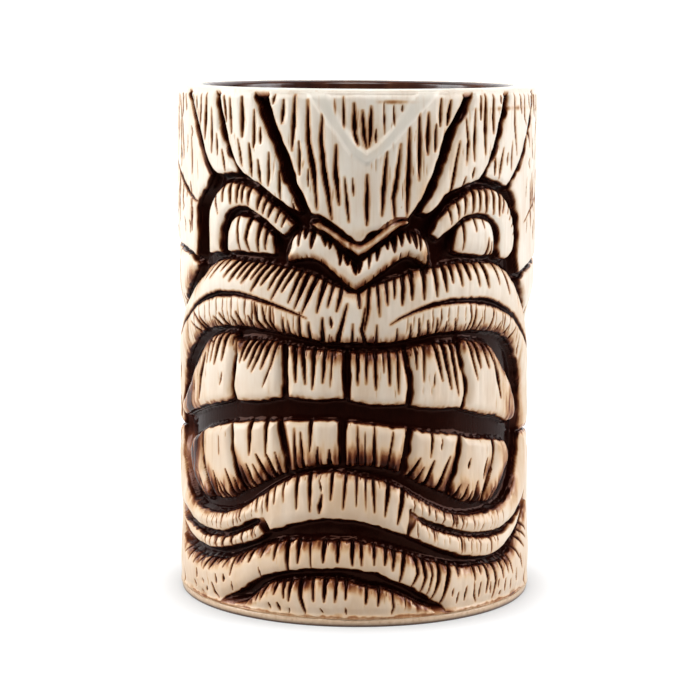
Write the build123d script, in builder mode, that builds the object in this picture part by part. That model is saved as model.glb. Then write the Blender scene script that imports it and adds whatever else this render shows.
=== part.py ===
"""Tiki mug: a straight ceramic cup whose outside is carved in low relief into a face.

The cup is a plain wall and floor with a rounded rim, standing on a thin foot ring. Every carved form is a
raised panel seated on that wall, and the grooves between the panels go down to the wall.

Frame: origin at the centre of the foot, +Z up, the face looks towards -Y. A place on the carving is given
as (across, up): across is the arc length round the wall from the middle of the face, positive towards +X.
"""

import os
from math import cos, degrees, pi, radians, sin, tan

from build123d import *

os.makedirs("parts", exist_ok=True)

# Driving dimensions, in millimetres
height = 125.0  # foot to the crest of the rim
outer_radius = 44.5  # highest carved surface
core_radius = 40.5  # plain wall behind the carving, the floor of every groove
well_radius = 37.5  # inside of the clay wall
arc_radius = 44.0  # radius at which "across" is measured
glaze = 0.4  # glaze lining inside the well
rim_round = 2.5  # round-over outside the rim
lip_round = 1.2  # round-over inside the rim
floor_top = 6.5  # top of the clay floor
floor_fillet = 6.0  # clay corner between the wall and the floor
foot_height = 1.8  # thickness of the foot ring
foot_outer = 43.4
foot_inner = 33.0
foot_fillet = 0.6
foot_line = 0.7  # fine groove between the foot ring and the carving
skirt_radius = 43.9  # the carving draws in slightly towards the foot
skirt_height = 9.0

# Heights of the different carved surfaces, as radii
tooth_upper_radius = 44.2
tooth_lower_radius = 43.6
side_radius = 44.2
waist_radius = 42.2  # hollow beside the mouth
waist_low = 24.0
waist_high = 66.0
waist_blend = 12.0

# Furrows that divide the sides from the back
side_furrow = 80.0  # distance round the wall from the middle of the face
furrow_width = 2.0

crest_radius = outer_radius - rim_round  # outer edge of the rim's level top
carving_foot = foot_height + foot_line
above_rim = height + 2.0  # panels that reach the rim are drawn to here and trimmed by its round-over
wedge_near = 24.0  # depths from the axis between which a panel's block is drawn
wedge_far = 46.0
half_turn = pi * arc_radius


def height_on_round(radius):
    """Height of the rim's outer round-over at a radius."""
    return height - rim_round + (rim_round**2 - (radius - crest_radius) ** 2) ** 0.5


def save(part, name):
    """Label a finished piece and write it."""
    part.label = name
    export_step(part, f"parts/{name}.step")


# Plain wall and floor
lip_crest_radius = well_radius + lip_round
with BuildPart() as cup_shell:
    with BuildSketch(Plane.XZ):
        with BuildLine():
            Polyline((0, floor_top), (0, foot_height), (core_radius, foot_height), (core_radius, height))
            Line((core_radius, height), (lip_crest_radius, height))
            RadiusArc((lip_crest_radius, height), (well_radius, height - lip_round), -lip_round)
            Line((well_radius, height - lip_round), (well_radius, floor_top + floor_fillet))
            RadiusArc(
                (well_radius, floor_top + floor_fillet), (well_radius - floor_fillet, floor_top), floor_fillet
            )
            Line((well_radius - floor_fillet, floor_top), (0, floor_top))
        make_face()
    revolve(axis=Axis.Z)
save(cup_shell.part, "cup_shell")

# Glaze lining of the well
with BuildPart() as inner_glaze:
    with BuildSketch(Plane.XZ):
        with BuildLine():
            Polyline((well_radius - floor_fillet, floor_top), (0, floor_top), (0, floor_top + glaze))
            Line((0, floor_top + glaze), (well_radius - floor_fillet, floor_top + glaze))
            RadiusArc(
                (well_radius - floor_fillet, floor_top + glaze),
                (well_radius - glaze, floor_top + floor_fillet),
                -(floor_fillet - glaze),
            )
            Line((well_radius - glaze, floor_top + floor_fillet), (well_radius - glaze, height - lip_round))
            Line((well_radius - glaze, height - lip_round), (well_radius, height - lip_round))
            Line((well_radius, height - lip_round), (well_radius, floor_top + floor_fillet))
            RadiusArc(
                (well_radius, floor_top + floor_fillet), (well_radius - floor_fillet, floor_top), floor_fillet
            )
        make_face()
    revolve(axis=Axis.Z)
save(inner_glaze.part, "inner_glaze")

# Foot ring
with BuildPart() as foot_ring:
    Cylinder(foot_outer, foot_height, align=(Align.CENTER, Align.CENTER, Align.MIN))
    Cylinder(foot_inner, foot_height, align=(Align.CENTER, Align.CENTER, Align.MIN), mode=Mode.SUBTRACT)
    fillet(foot_ring.edges().group_by(Axis.Z)[0], foot_fillet)
save(foot_ring.part, "foot_ring")


def relief_layer(*surface):
    """The ring of clay between the plain wall and a carved surface.

    The surface is given as (radius, height) points, upwards, and is upright at each of them.
    """
    top_radius = surface[-1][0]
    top_height = height_on_round(top_radius)
    with BuildPart() as layer:
        with BuildSketch(Plane.XZ):
            with BuildLine():
                Line((core_radius, carving_foot), surface[0])
                for low, high in zip(surface, surface[1:]):
                    Spline(low, high, tangents=((0, 1), (0, 1)))
                Line(surface[-1], (top_radius, top_height))
                RadiusArc((top_radius, top_height), (crest_radius, height), -rim_round)
                Line((crest_radius, height), (core_radius, height))
                Line((core_radius, height), (core_radius, carving_foot))
            make_face()
        revolve(axis=Axis.Z)
    return layer.part


def facing(centre, depth):
    """A plane square to the radius at a place round the wall, at a depth out from the axis."""
    angle = centre / arc_radius
    outward = Vector(sin(angle), -cos(angle), 0)
    return Plane(origin=outward * depth, x_dir=(cos(angle), sin(angle), 0), z_dir=outward)


def wedge(centre, outline):
    """A block whose side walls all point at the axis and follow an outline drawn on the wall.

    An outline is a list of edges, and an edge is a list of (across, up) points. Each edge starts where the
    one before it ended, and the last point of all is the first corner. One point makes a straight edge, and
    more make a smooth curve.
    """
    with BuildPart() as block:
        for depth in (wedge_near, wedge_far):
            with BuildSketch(facing(centre, depth)):
                with BuildLine():
                    corner = outline[-1][-1]
                    for edge in outline:
                        places = [corner, *edge]
                        points = [(depth * tan((across - centre) / arc_radius), up) for across, up in places]
                        if len(points) == 2:
                            Line(*points)
                        else:
                            Spline(*points)
                        corner = edge[-1]
                make_face()
        loft(ruled=True)
    return block.part


def carve(name, layer, *facets):
    """Cut a named panel out of a layer. Each facet is the middle of its outline and the outline itself."""
    with BuildPart() as panel:
        for centre, outline in facets:
            add(wedge(centre, outline))
        add(layer, mode=Mode.INTERSECT)
    save(panel.part, name)


face_layer = relief_layer((skirt_radius, carving_foot), (outer_radius, skirt_height))
upper_tooth_layer = relief_layer((skirt_radius, carving_foot), (tooth_upper_radius, skirt_height))
lower_tooth_layer = relief_layer((skirt_radius, carving_foot), (tooth_lower_radius, skirt_height))
side_layer = relief_layer(
    (skirt_radius, carving_foot),
    (waist_radius, waist_low),
    (waist_radius, waist_high),
    (side_radius, waist_high + waist_blend),
)

# Forehead: five panels between four furrows that slant in towards the bridge of the nose
carve("forehead_center", face_layer, (0, [
    [(-20.3, 120), (-18.6, 115), (-16, 110), (-14.5, 105), (-12, 100), (-10.6, 97)],
    [(-5.3, 94.6), (-1.2, 91.6), (0.5, 91), (2.3, 93.6), (5, 95.8), (8.5, 96.7), (12, 96.5)],
    [(15, 100), (17.6, 105), (19.5, 110), (21.1, 115), (25.5, 122), (26.6, above_rim)],
    [(-22.3, above_rim)],
]))
carve("forehead_left_inner", face_layer, (-25, [
    [(-24, 120), (-21.4, 115), (-19.2, 110), (-18, 105), (-14.8, 100), (-13.4, 97.2)],
    [(-17, 98.8), (-20, 100.7), (-24, 103.2), (-28, 105)],
    [(-31.8, 110), (-33.5, 115), (-35.2, 120), (-36.4, above_rim)],
    [(-24.9, above_rim)],
]))
carve("forehead_left_outer", face_layer, (-38, [
    [(-37, 120), (-35.9, 115), (-33.2, 110), (-29.8, 105.6)],
    [(-33, 105.2), (-37, 105)],
    [(-40.7, 107.8), (-42.2, 110.4), (-44.6, 115.4), (-46.1, 118.4), (-49, 123.3), (-50, above_rim)],
    [(-38.2, above_rim)],
]))
carve("forehead_right_inner", face_layer, (26, [
    [(28.3, 122), (24.1, 115), (22, 110), (20.1, 105), (17.3, 100), (15, 97)],
    [(18.8, 98), (21.3, 100.8), (25.6, 102.7), (31, 104.2)],
    [(33.5, 107), (35, 110), (37, 115), (38.8, 120), (40.2, above_rim)],
    [(28.8, above_rim)],
]))
carve("forehead_right_outer", face_layer, (44, [
    [(41, 120), (39, 115), (37, 110), (34.8, 107), (32.6, 104.8)],
    [(37, 103.5), (41, 102.2)],
    [(43, 103.5), (45.5, 106), (47.8, 108.2), (49.3, 110.7), (51.3, 113.4), (54.6, 119.7), (57, above_rim)],
    [(42.2, above_rim)],
]))

# Temples: bark from the outer furrows round to the sides
side_edge = side_furrow - furrow_width / 2
carve("temple_left", face_layer, (-60, [
    [(-50.6, 123.3), (-47.9, 118), (-46.4, 115), (-43.9, 110), (-42.1, 107.4), (-39.6, 104.4)],
    [(-41.5, 101.8), (-43.3, 100.2), (-45.4, 97.5), (-46, 92), (-46.6, 85)],
    [(-50, 86), (-55, 86.6), (-62, 87.3), (-side_edge, 88.4)],
    [(-side_edge, above_rim)],
    [(-52, above_rim)],
]))
carve("temple_right", face_layer, (60, [
    [(56, 119.3), (52.7, 112.8), (50.6, 109.6), (49, 107), (46.5, 105), (43.2, 101.3)],
    [(45.9, 97.8), (47, 94.2), (47.5, 91), (47.3, 87), (48, 81.2)],
    [(61, 83.7), (side_edge, 85.6)],
    [(side_edge, above_rim)],
    [(57.8, above_rim)],
]))

# Brow arches and closed lids
carve("brow_arch_left", face_layer, (-28, [
    [(-40.8, 93), (-40, 97.5), (-38, 100), (-35, 102.3), (-31, 103), (-27.5, 102.3), (-20, 98), (-15, 94)],
    [(-17.5, 92)],
    [(-23, 95.5), (-27, 97.5), (-30, 97.8), (-33.5, 96.5), (-35.5, 94), (-36.3, 86.8)],
    [(-40.4, 86.2)],
]))
carve("brow_arch_right", face_layer, (32, [
    [(20, 95.5), (25, 99.5), (28, 101), (32, 101.8), (36, 101.5), (40, 99.8), (43, 97), (44.8, 93.5),
     (45.3, 90), (44.5, 87), (41, 85)],
    [(39, 85.8)],
    [(38.8, 87.5), (38.6, 91), (37, 94), (34, 95.8), (30, 96.4), (27, 95.8), (24, 94), (19.5, 91)],
    [(18, 92)],
]))
carve("eye_left", face_layer, (-27, [
    [(-33.8, 91), (-32.5, 93.8), (-30, 95.4), (-27.5, 95.3), (-24, 93.8), (-20.6, 91)],
    [(-20.3, 87.4)],
    [(-33.8, 87.2)],
]))
carve("eye_right", face_layer, (30, [
    [(24.5, 91.5), (26, 93.5), (29, 94.7), (33, 94.7), (35.5, 93.5), (36.8, 91), (36.5, 86.3)],
    [(33, 86.5), (29, 87), (24, 88)],
]))

# Nose: two wings that meet in a point, under a thin bridge
carve("nose_bridge", face_layer, (0, [
    [(-6, 93.2), (-3, 91.2), (0, 89.9), (3, 91.2), (6, 94.2), (12, 95)],
    [(7, 92.8), (3.4, 90.1), (0.4, 87.4)],
    [(-3, 89.8), (-10.5, 94.4)],
]))
carve("nose", face_layer, (0, [
    [(-16.3, 88), (-15, 91), (-13, 92.8), (-10.5, 92.5), (-8, 91.5), (-5, 89), (-2, 86.2), (0, 84.6)],
    [(2, 86.2), (5, 88.5), (8, 90.8), (11, 92.2), (14, 92.3), (16, 91), (17, 88.5), (18, 84.9)],
    [(14, 86.7), (12.5, 87.2), (10, 86.5), (7, 84.5), (4, 82.5), (0, 79.4)],
    [(-3, 81.5), (-6, 84), (-9, 86), (-11.5, 86.5), (-16.5, 85.6)],
]))

# Upper lip: an arch over the teeth, in two halves that meet at lip_seam and are one piece
lip_seam = -3
lip_corner = 42.0  # height of the corner of the mouth
corner_gap = 0.8
upper_corner = lip_corner + corner_gap / 2
lower_corner = lip_corner - corner_gap / 2
carve("upper_lip", face_layer, (-33, [
    [(lip_seam, 79.4)],
    [(-7, 80.9), (-12, 82.8), (-20, 84.3), (-30, 84.9), (-36, 84.6), (-40, 83.3), (-43, 81.3), (-47, 78.6),
     (-52, 75), (-57, 71.2), (-61, 67.6), (-63.2, 63), (-63.5, 56)],
    [(-63.5, upper_corner)],
    [(-59.3, upper_corner)],
    [(-59, 50), (-57.5, 57), (-55, 60.5), (-50, 64), (-46, 66.5), (-42, 68.3), (-37, 69.3), (-30, 69.8),
     (-22, 69.5), (-15, 68.5), (-10, 67.7), (lip_seam, 67.3)],
]), (27, [
    [(3, 67.2), (10, 67.5), (16, 68.5), (22, 69.2), (30, 69), (36, 68.5), (41, 67.8), (45, 66), (48.5, 62.5),
     (50.5, 58), (51.5, 52), (51.8, upper_corner)],
    [(57.5, upper_corner)],
    [(57.5, 56)],
    [(56.8, 65), (54, 71), (50, 76), (46, 79.6), (43, 82), (40, 83.6), (33, 84.5), (25, 84.6), (17, 83.7),
     (10, 82), (5, 80.3), (0, 78.4), (lip_seam, 79.4)],
    [(lip_seam, 67.3)],
]))

# Upper teeth, from the wearer's right to left
upper_teeth = [
    (-42, [
        [(-55, 47), (-53.5, 50), (-50, 53.8), (-46, 58.5), (-43, 62), (-40.5, 65), (-36, 67), (-31, 67.3)],
        [(-30.8, 61), (-31.7, 56), (-31.3, 52.3)],
        [(-38, 50.3), (-42, 49.3), (-46, 48), (-54, 45.3)],
    ]),
    (-24, [
        [(-25, 66.6), (-20, 66.5), (-17.3, 66)],
        [(-17.5, 54)],
        [(-20, 53.3), (-24, 52.5), (-29.6, 52)],
        [(-30.6, 55), (-30.1, 60), (-29.7, 65.8)],
    ]),
    (-9, [
        [(-10, 65.2), (-3.2, 64.8)],
        [(-3, 54.2)],
        [(-6, 54), (-10, 53.9), (-15.6, 54)],
        [(-15.8, 66)],
    ]),
    (5, [
        [(5, 64.5), (10.3, 65)],
        [(11.6, 60), (11.8, 55), (11.2, 52.8)],
        [(6, 52.8), (0, 53.5), (-1.2, 53.8)],
        [(-1, 64.7)],
    ]),
    (19, [
        [(18, 66.2), (24, 66)],
        [(25.5, 60), (26.4, 55), (25.4, 51)],
        [(18, 51.5), (12.6, 52.3)],
        [(13.1, 55), (12.9, 60), (11.7, 65.2)],
    ]),
    (36, [
        [(27, 66.4), (31, 65.8), (35, 64.3), (38, 61.5), (41, 58), (44.5, 53), (46.6, 48)],
        [(45.5, 45.8)],
        [(42, 46), (38, 47.5), (32, 49), (26.5, 50.6)],
        [(27.5, 55), (26.5, 60), (25, 66.2)],
    ]),
]
for number, (centre, outline) in enumerate(upper_teeth, start=1):
    carve(f"upper_tooth_{number}", upper_tooth_layer, (centre, outline))

# Lower teeth
lower_teeth = [
    (-47, [
        [(-50, 39.5), (-47, 41.3), (-44.2, 42.3)],
        [(-44.5, 38.5), (-43.5, 34.2), (-41.6, 30.4), (-39.4, 27.6)],
        [(-42, 26.8), (-46, 28.3), (-49, 30.5), (-51.8, 36.8)],
    ]),
    (-37, [
        [(-40, 44), (-35, 45.3), (-32.5, 45.8)],
        [(-32.3, 40), (-31, 34.8), (-28.2, 30.6)],
        [(-33, 28.3), (-38, 27.7)],
        [(-40.5, 30.2), (-42.5, 34), (-43.5, 38.6), (-43.2, 42.8)],
    ]),
    (-24, [
        [(-28, 46.8), (-18.8, 47.8)],
        [(-16.9, 36)],
        [(-18, 35.5), (-25, 32), (-26.9, 31.1)],
        [(-30, 35.3), (-31.3, 40.2), (-31.4, 46.2)],
    ]),
    (-10, [
        [(-13, 48.5), (-4, 48.7)],
        [(-4, 38.5)],
        [(-10, 38), (-15.2, 36.7)],
        [(-17.2, 48)],
    ]),
    (5, [
        [(5, 47.5), (11.8, 46.6)],
        [(10.2, 36.6)],
        [(5, 38), (-2, 38.5)],
        [(-2, 48.5)],
    ]),
    (19, [
        [(20, 45), (25.4, 44.2)],
        [(24.9, 40), (23.9, 36), (21.8, 30.9)],
        [(18, 32.5), (12, 36)],
        [(13.5, 46.3)],
    ]),
    (30, [
        [(34, 42.3), (36.4, 42)],
        [(36.8, 37), (35.6, 34), (33, 27.6)],
        [(30, 27.7), (23.3, 30.3)],
        [(25.1, 36), (26.1, 40), (26.6, 43.8)],
    ]),
    (39, [
        [(40, 41.2), (43, 40), (44.3, 37), (43, 34), (41, 31), (38.5, 28.5), (36, 27.3), (34, 27.4)],
        [(36.4, 33.9), (37.6, 37), (37.2, 41.8)],
    ]),
]
for number, (centre, outline) in enumerate(lower_teeth, start=1):
    carve(f"lower_tooth_{number}", lower_tooth_layer, (centre, outline))

# Lower lip, in two halves that meet at lip_seam and are one piece
carve("lower_lip", face_layer, (-33, [
    [(lip_seam, 25.8)],
    [(-8, 25.7), (-13, 24.7), (-21.3, 22)],
    [(-22.6, 25)],
    [(-25, 24.5), (-28, 23.3), (-32, 21.3), (-37, 19.8), (-43, 19.5), (-49, 20.1), (-53, 21.2), (-60, 22.8)],
    [(-62.6, 26.5), (-63.5, 33)],
    [(-63.5, lower_corner)],
    [(-59.3, lower_corner)],
    [(-59, 34), (-56, 28), (-52, 24.9), (-47, 23.7), (-42, 23.6), (-37, 24), (-33, 25), (-29, 26.5),
     (-25, 29), (-20, 32.5), (-15, 35), (-10, 36.3), (lip_seam, 36.5)],
]), (27, [
    [(3, 35.3), (8, 34), (12, 32), (16, 29.5), (20, 27.5), (25, 25.5), (30, 24.7), (36, 24.5), (41, 25),
     (45, 26.5), (48.5, 29.5), (50.4, 33.5), (51.6, lower_corner)],
    [(57.5, lower_corner)],
    [(57.5, 34)],
    [(56.4, 28.5), (53.5, 24.5)],
    [(48, 21.7), (44, 20.6), (37, 19.9), (32, 20.5), (27, 21.5), (23, 22.8), (19, 24.4), (13.5, 27.2)],
    [(12.4, 21.9)],
    [(8, 23.3), (3, 25), (lip_seam, 25.8)],
    [(lip_seam, 36.5)],
]))
carve("lip_fold_left", face_layer, (-40, [
    [(-51, 18.6), (-46, 18), (-41, 17.8), (-36, 18.2), (-31, 19.7), (-27, 21.5), (-24.2, 23)],
    [(-22.9, 21)],
    [(-27, 18.8), (-32, 17), (-37, 15.6), (-42, 15.3), (-47, 15.8), (-58, 20)],
]))
carve("lip_fold_right", face_layer, (33, [
    [(18, 23.2), (22, 21.5), (27, 20), (32, 19), (38, 18.4), (42, 18.6), (46, 19.5), (53, 23)],
    [(50.5, 20.3), (47, 17.8), (43, 15.7), (39, 14.5), (35, 14.3), (30, 15), (24, 16.8), (18, 19.3), (13.3, 21.6)],
    [(14.6, 25.3)],
]))

# Jaw band, in two halves that meet at lip_seam and are one piece, and the chin under it
band_end = 58.0
carve("jaw_band", face_layer, (-31, [
    [(lip_seam, 20.3)],
    [(-10, 20.3), (-17, 19.5), (-22, 18.2), (-26, 16.5), (-30, 14.8), (-35, 13), (-40, 12.3), (-45, 12),
     (-50, 12.3), (-54, 13), (-band_end, 14.8)],
    [(-band_end, 0)],
    [(-39.5, 0)],
    [(-38, 1.8), (-35, 4), (-31, 6), (-28, 8), (-25, 10), (-20, 12), (-15, 13.2), (-9, 14), (lip_seam, 14.2)],
]), (27, [
    [(2, 13.7), (6, 12.8), (10, 10.9), (13, 9.6), (16, 7.8), (19, 5.8), (21.5, 4.3), (24, 0)],
    [(band_end, 0)],
    [(band_end, 23.5)],
    [(55, 21.5), (52, 18.6), (49, 15), (45, 12.5), (40, 11.6), (34, 12), (28, 12.5), (23, 13.5), (18, 15),
     (13, 16.8), (8, 18.5), (3, 19.8), (lip_seam, 20.3)],
    [(lip_seam, 14.2)],
]))
carve("chin", face_layer, (-8, [
    [(-30, 3.2), (-26, 5.5), (-23, 8), (-19, 9.5), (-14, 10.5), (-8, 11), (-2, 10.8), (3, 9.4), (8, 8.5),
     (11, 7.4), (14, 5.8), (17, 4.4), (21.5, 0)],
    [(-37, 0)],
]))

# Sides and back
carve("side_left", side_layer, (-63, [
    [(-50, 84.5), (-55, 85.1), (-62, 85.8), (-side_edge, 86.8)],
    [(-side_edge, 0)],
    [(-59.4, 0)],
    [(-59.6, 17), (-62, 22.6)],
    [(-64.2, 27), (-64.7, 34)],
    [(-64.7, 60)],
    [(-63.6, 67.4), (-60, 71.3), (-53, 76.6), (-46.8, 82.6)],
]))
carve("side_right", side_layer, (64, [
    [(61, 81.8), (side_edge, 84)],
    [(side_edge, 0)],
    [(band_end + 1.2, 0)],
    [(band_end + 1.2, 30)],
    [(band_end + 0.8, 60)],
    [(57.6, 68), (55, 72.6), (49.4, 79.2)],
]))
back_low = side_furrow + furrow_width / 2
back_facets = 3
back_facet = (half_turn - back_low) * 2 / back_facets


def upright_strip(step):
    """One of the side-by-side strips that make the back panel, as a facet for carve."""
    left = back_low + back_facet * step
    right = left + back_facet
    outline = [[(left, above_rim)], [(right, above_rim)], [(right, 0)], [(left, 0)]]
    return (left + right) / 2, outline


carve("back_bark", face_layer, *(upright_strip(step) for step in range(back_facets)))
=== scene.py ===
from math import cos, pi, radians, sin

import bpy
import numpy as np
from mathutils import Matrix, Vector


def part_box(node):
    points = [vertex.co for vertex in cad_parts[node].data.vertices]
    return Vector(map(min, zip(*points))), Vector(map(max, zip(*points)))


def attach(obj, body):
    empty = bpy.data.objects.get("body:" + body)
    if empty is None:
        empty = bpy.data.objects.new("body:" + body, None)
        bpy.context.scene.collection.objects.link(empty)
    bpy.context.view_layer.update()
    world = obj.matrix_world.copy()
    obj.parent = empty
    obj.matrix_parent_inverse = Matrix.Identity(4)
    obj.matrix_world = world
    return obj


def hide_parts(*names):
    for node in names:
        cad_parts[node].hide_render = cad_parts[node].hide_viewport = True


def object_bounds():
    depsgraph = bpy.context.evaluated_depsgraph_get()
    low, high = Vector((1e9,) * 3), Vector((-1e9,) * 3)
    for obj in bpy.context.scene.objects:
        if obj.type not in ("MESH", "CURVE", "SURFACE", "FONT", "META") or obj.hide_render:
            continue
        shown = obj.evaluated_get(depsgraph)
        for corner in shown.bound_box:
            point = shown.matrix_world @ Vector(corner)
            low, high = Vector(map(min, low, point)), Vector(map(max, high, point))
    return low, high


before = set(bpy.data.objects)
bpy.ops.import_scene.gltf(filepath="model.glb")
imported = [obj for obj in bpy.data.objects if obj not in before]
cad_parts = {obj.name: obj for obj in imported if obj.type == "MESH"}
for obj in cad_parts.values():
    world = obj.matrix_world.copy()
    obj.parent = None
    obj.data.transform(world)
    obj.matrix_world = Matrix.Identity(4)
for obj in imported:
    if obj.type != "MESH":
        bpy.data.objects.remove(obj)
cad_low, cad_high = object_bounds()

# The carving is worked out on the unrolled wall of the mug, in millimetres. "across" is the arc length
# round the wall from the middle of the face, positive towards +X, and "up" runs from the foot to the rim
# and over it.
MM = 0.001
ARC_RADIUS = 44.0  # radius at which "across" is measured
GIRTH = 2 * pi * ARC_RADIUS
OUTER = cad_high.x / MM  # highest carved surface
HEIGHT = cad_high.z / MM
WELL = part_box("inner_glaze")[1].x / MM  # clay wall inside
LINING = 0.4  # thickness of the glaze in the well
RIM_ROUND = 2.5  # round-over outside the rim
LIP_ROUND = 1.2  # round-over inside the rim
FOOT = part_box("foot_ring")[1].z / MM
FOOT_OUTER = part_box("foot_ring")[1].x / MM
FOOT_INNER = 33.0
SKIRT_INSET = 0.6  # the wall draws in this far at the foot
SKIRT_TOP = 9.0  # and is full again at this height
FLOOR_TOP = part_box("inner_glaze")[0].z / MM
FLOOR_ROUND = 6.0
ROUND_START = HEIGHT - RIM_ROUND  # height where the rim's round-over starts
CREST_UP = ROUND_START + RIM_ROUND * pi / 2  # "up" where it reaches the rim's level top
PANEL_TOP = CREST_UP - 2.0  # panels end here, part way round the rim
FACE_EDGE = 81.0  # the fine columns reach this far each side of the face

BLOCK = 4  # grid cells in one cell of a panel's hidden back
FINE = 0.25  # width of a column on the face
BACK_COLUMNS = 320
ROW_STEPS = 504
columns = np.concatenate([
    np.arange(-FACE_EDGE, FACE_EDGE, FINE),
    np.linspace(FACE_EDGE, GIRTH - FACE_EDGE, BACK_COLUMNS, endpoint=False),
])
rows = np.linspace(FOOT, CREST_UP, ROW_STEPS + 1)
shape = (len(rows), len(columns))
rng = np.random.default_rng(7)

# The strength of each unevenness, the width and height of its cells, and its seed
NOISE = {
    "groove_floor": (0.12, 5, 3, 1), "outline": (0.16, 2.3, 2.3, 11), "ragged_cut": (0.22, 0.9, 1.6, 23),
    "fine_grain": (0.05, 0.8, 7, 31), "broad_grain": (0.09, 3, 14, 32), "stain_edge": (0.22, 1.1, 2.2, 41),
    "fine_streak": (0.5, 0.7, 5, 42), "broad_streak": (0.3, 2, 9, 43), "halo": (0.13, 6, 6, 44),
    "foot_line": (1, 7, 9, 45), "foot_smear": (1, 4, 9, 46), "tone": (0.15, 12, 18, 51),
    "well_edge": (1, 14, 9, 61), "fine_well_edge": (0.4, 4, 9, 62), "foot_wave": (1, 9, 9, 71),
}


def smooth(low, high, value):
    """0 below low, 1 above high, and an even ramp between them."""
    t = np.clip((value - low) / (high - low), 0, 1)
    return t * t * (3 - 2 * t)


def profile(up):
    """Radius, height and outward normal of the plain mug at a place up its side."""
    turn = np.clip((up - ROUND_START) / RIM_ROUND, 0, pi / 2)
    inset = SKIRT_INSET * (1 - smooth(FOOT, SKIRT_TOP, up))
    radius = OUTER - RIM_ROUND + RIM_ROUND * np.cos(turn) - inset
    height = np.where(turn > 0, ROUND_START + RIM_ROUND * np.sin(turn), up)
    return radius, height, np.cos(turn), np.sin(turn)


def up_at(height):
    """The place up the side of a point at a height."""
    over = np.clip((height - ROUND_START) / RIM_ROUND, 0, 1)
    return np.where(over > 0, ROUND_START + RIM_ROUND * np.arcsin(over), height)


def lattice_noise(across, up, wide, tall, seed):
    """Smooth noise from -1 to 1 with cells of a given size, the same at both ends of the girth."""
    cells = max(2, round(GIRTH / wide))
    values = np.random.default_rng(seed).uniform(-1, 1, (int(200 / tall) + 3, cells))
    x = (across / GIRTH * cells) % cells
    y = up / tall + 1
    i, j = np.floor(y).astype(int), np.floor(x).astype(int)
    fy, fx = smooth(0, 1, y - i), smooth(0, 1, x - j)
    j, k = j % cells, (j + 1) % cells
    low = values[i, j] * (1 - fx) + values[i, k] * fx
    high = values[i + 1, j] * (1 - fx) + values[i + 1, k] * fx
    return low * (1 - fy) + high * fy


def noise(kind, across, up):
    """One of the kinds of unevenness at a place."""
    strength, wide, tall, seed = NOISE[kind]
    return strength * lattice_noise(across, up, wide, tall, seed)


# ---------------------------------------------------------------- outlines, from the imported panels
LEAST_OUTWARD = 0.6  # how far outwards a carved face's normal points, on the wall and on the rim
LEAST_OUTWARD_ON_RIM = 0.12


def outer_faces(node):
    """The corners of a panel's carved faces, face by face."""
    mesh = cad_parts[node].data
    points = np.array([v.co[:] for v in mesh.vertices]) / MM
    corners = []
    for face in mesh.polygons:
        centre = np.mean(points[list(face.vertices)], axis=0)
        outward = centre[:2] / np.hypot(*centre[:2])
        least = LEAST_OUTWARD if centre[2] < ROUND_START else LEAST_OUTWARD_ON_RIM
        if face.normal.x * outward[0] + face.normal.y * outward[1] > least:
            corners.append([points[i] for i in face.vertices])
    return corners


def outline(node):
    """A panel's carved surface: its edges as pairs of (across, up) points, and its radius by height."""
    box_low, box_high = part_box(node)
    middle_angle = np.arctan2((box_low.x + box_high.x) / 2, -(box_low.y + box_high.y) / 2)
    edges = {}
    radius_at = {}
    for corners in outer_faces(node):
        keys = [tuple(np.round(c, 3)) for c in corners]
        for a, b in zip(keys, keys[1:] + keys[:1]):
            edges[(a, b)] = (a, b)
            radius_at[a[2]] = np.hypot(a[0], a[1])
    rim = [pair for pair in edges if (pair[1], pair[0]) not in edges]
    pairs = []
    for a, b in rim:
        ends = []
        for x, y, z in (a, b):
            turn = np.arctan2(x, -y) - middle_angle
            turn = (turn + pi) % (2 * pi) - pi + middle_angle
            up = float(up_at(z))
            ends.append((turn * ARC_RADIUS, up if up < PANEL_TOP - 1 else up + 2 * RIM_ROUND))
        pairs.append(ends)
    heights = sorted(radius_at)
    return np.array(pairs), heights, [radius_at[h] for h in heights]


def window(left, right, low, high):
    """Row and column numbers of the grid inside a rectangle, with their across and up."""
    middle = (left + right) / 2
    around = (columns - middle + GIRTH / 2) % GIRTH - GIRTH / 2 + middle
    picked = np.where((around >= left) & (around <= right))[0]
    picked = picked[np.argsort(around[picked])]
    lines = np.where((rows >= low) & (rows <= high))[0]
    return lines, picked, *np.meshgrid(around[picked], rows[lines])


def to_segment(across, up, start, end):
    """Distance to a segment, and how far along it, 0 to 1, its nearest place is."""
    (ax, ay), (bx, by) = start, end
    dx, dy = bx - ax, by - ay
    t = np.clip(((across - ax) * dx + (up - ay) * dy) / (dx * dx + dy * dy), 0, 1)
    return np.hypot(across - ax - t * dx, up - ay - t * dy), t


def distance_inside(edges, across, up):
    """Signed distance to an outline, positive inside."""
    nearest = np.full(across.shape, 1e9)
    crossings = np.zeros(across.shape, bool)
    for (ax, ay), (bx, by) in edges:
        dx, dy = bx - ax, by - ay
        length = dx * dx + dy * dy
        if length < 1e-9:
            continue
        t = np.clip(((across - ax) * dx + (up - ay) * dy) / length, 0, 1)
        nearest = np.minimum(nearest, (across - ax - t * dx) ** 2 + (up - ay - t * dy) ** 2)
        if dy:
            crossings ^= ((ay > up) != (by > up)) & (across < ax + (up - ay) * dx / dy)
    return np.where(crossings, 1, -1) * np.sqrt(nearest)


# ---------------------------------------------------------------- the carved relief
WALL_SLOPE = 2.4  # how steeply a panel's side falls into a groove
GROOVE_FLOOR = 3.0
MOUTH_FLOOR = 3.6
FOOT_LINE_FLOOR = 0.6
DEEPEST_WALL = 3.66
DEEPEST_RIM = 1.4
PANEL_BLEND = 0.3  # rounding where a panel meets a groove's floor
CUT_BLEND = 0.5  # rounding where a cut meets it
SEAT = 0.35  # a panel's edge dives under the wall this far outside its outline
MARGIN = 4.0

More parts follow.
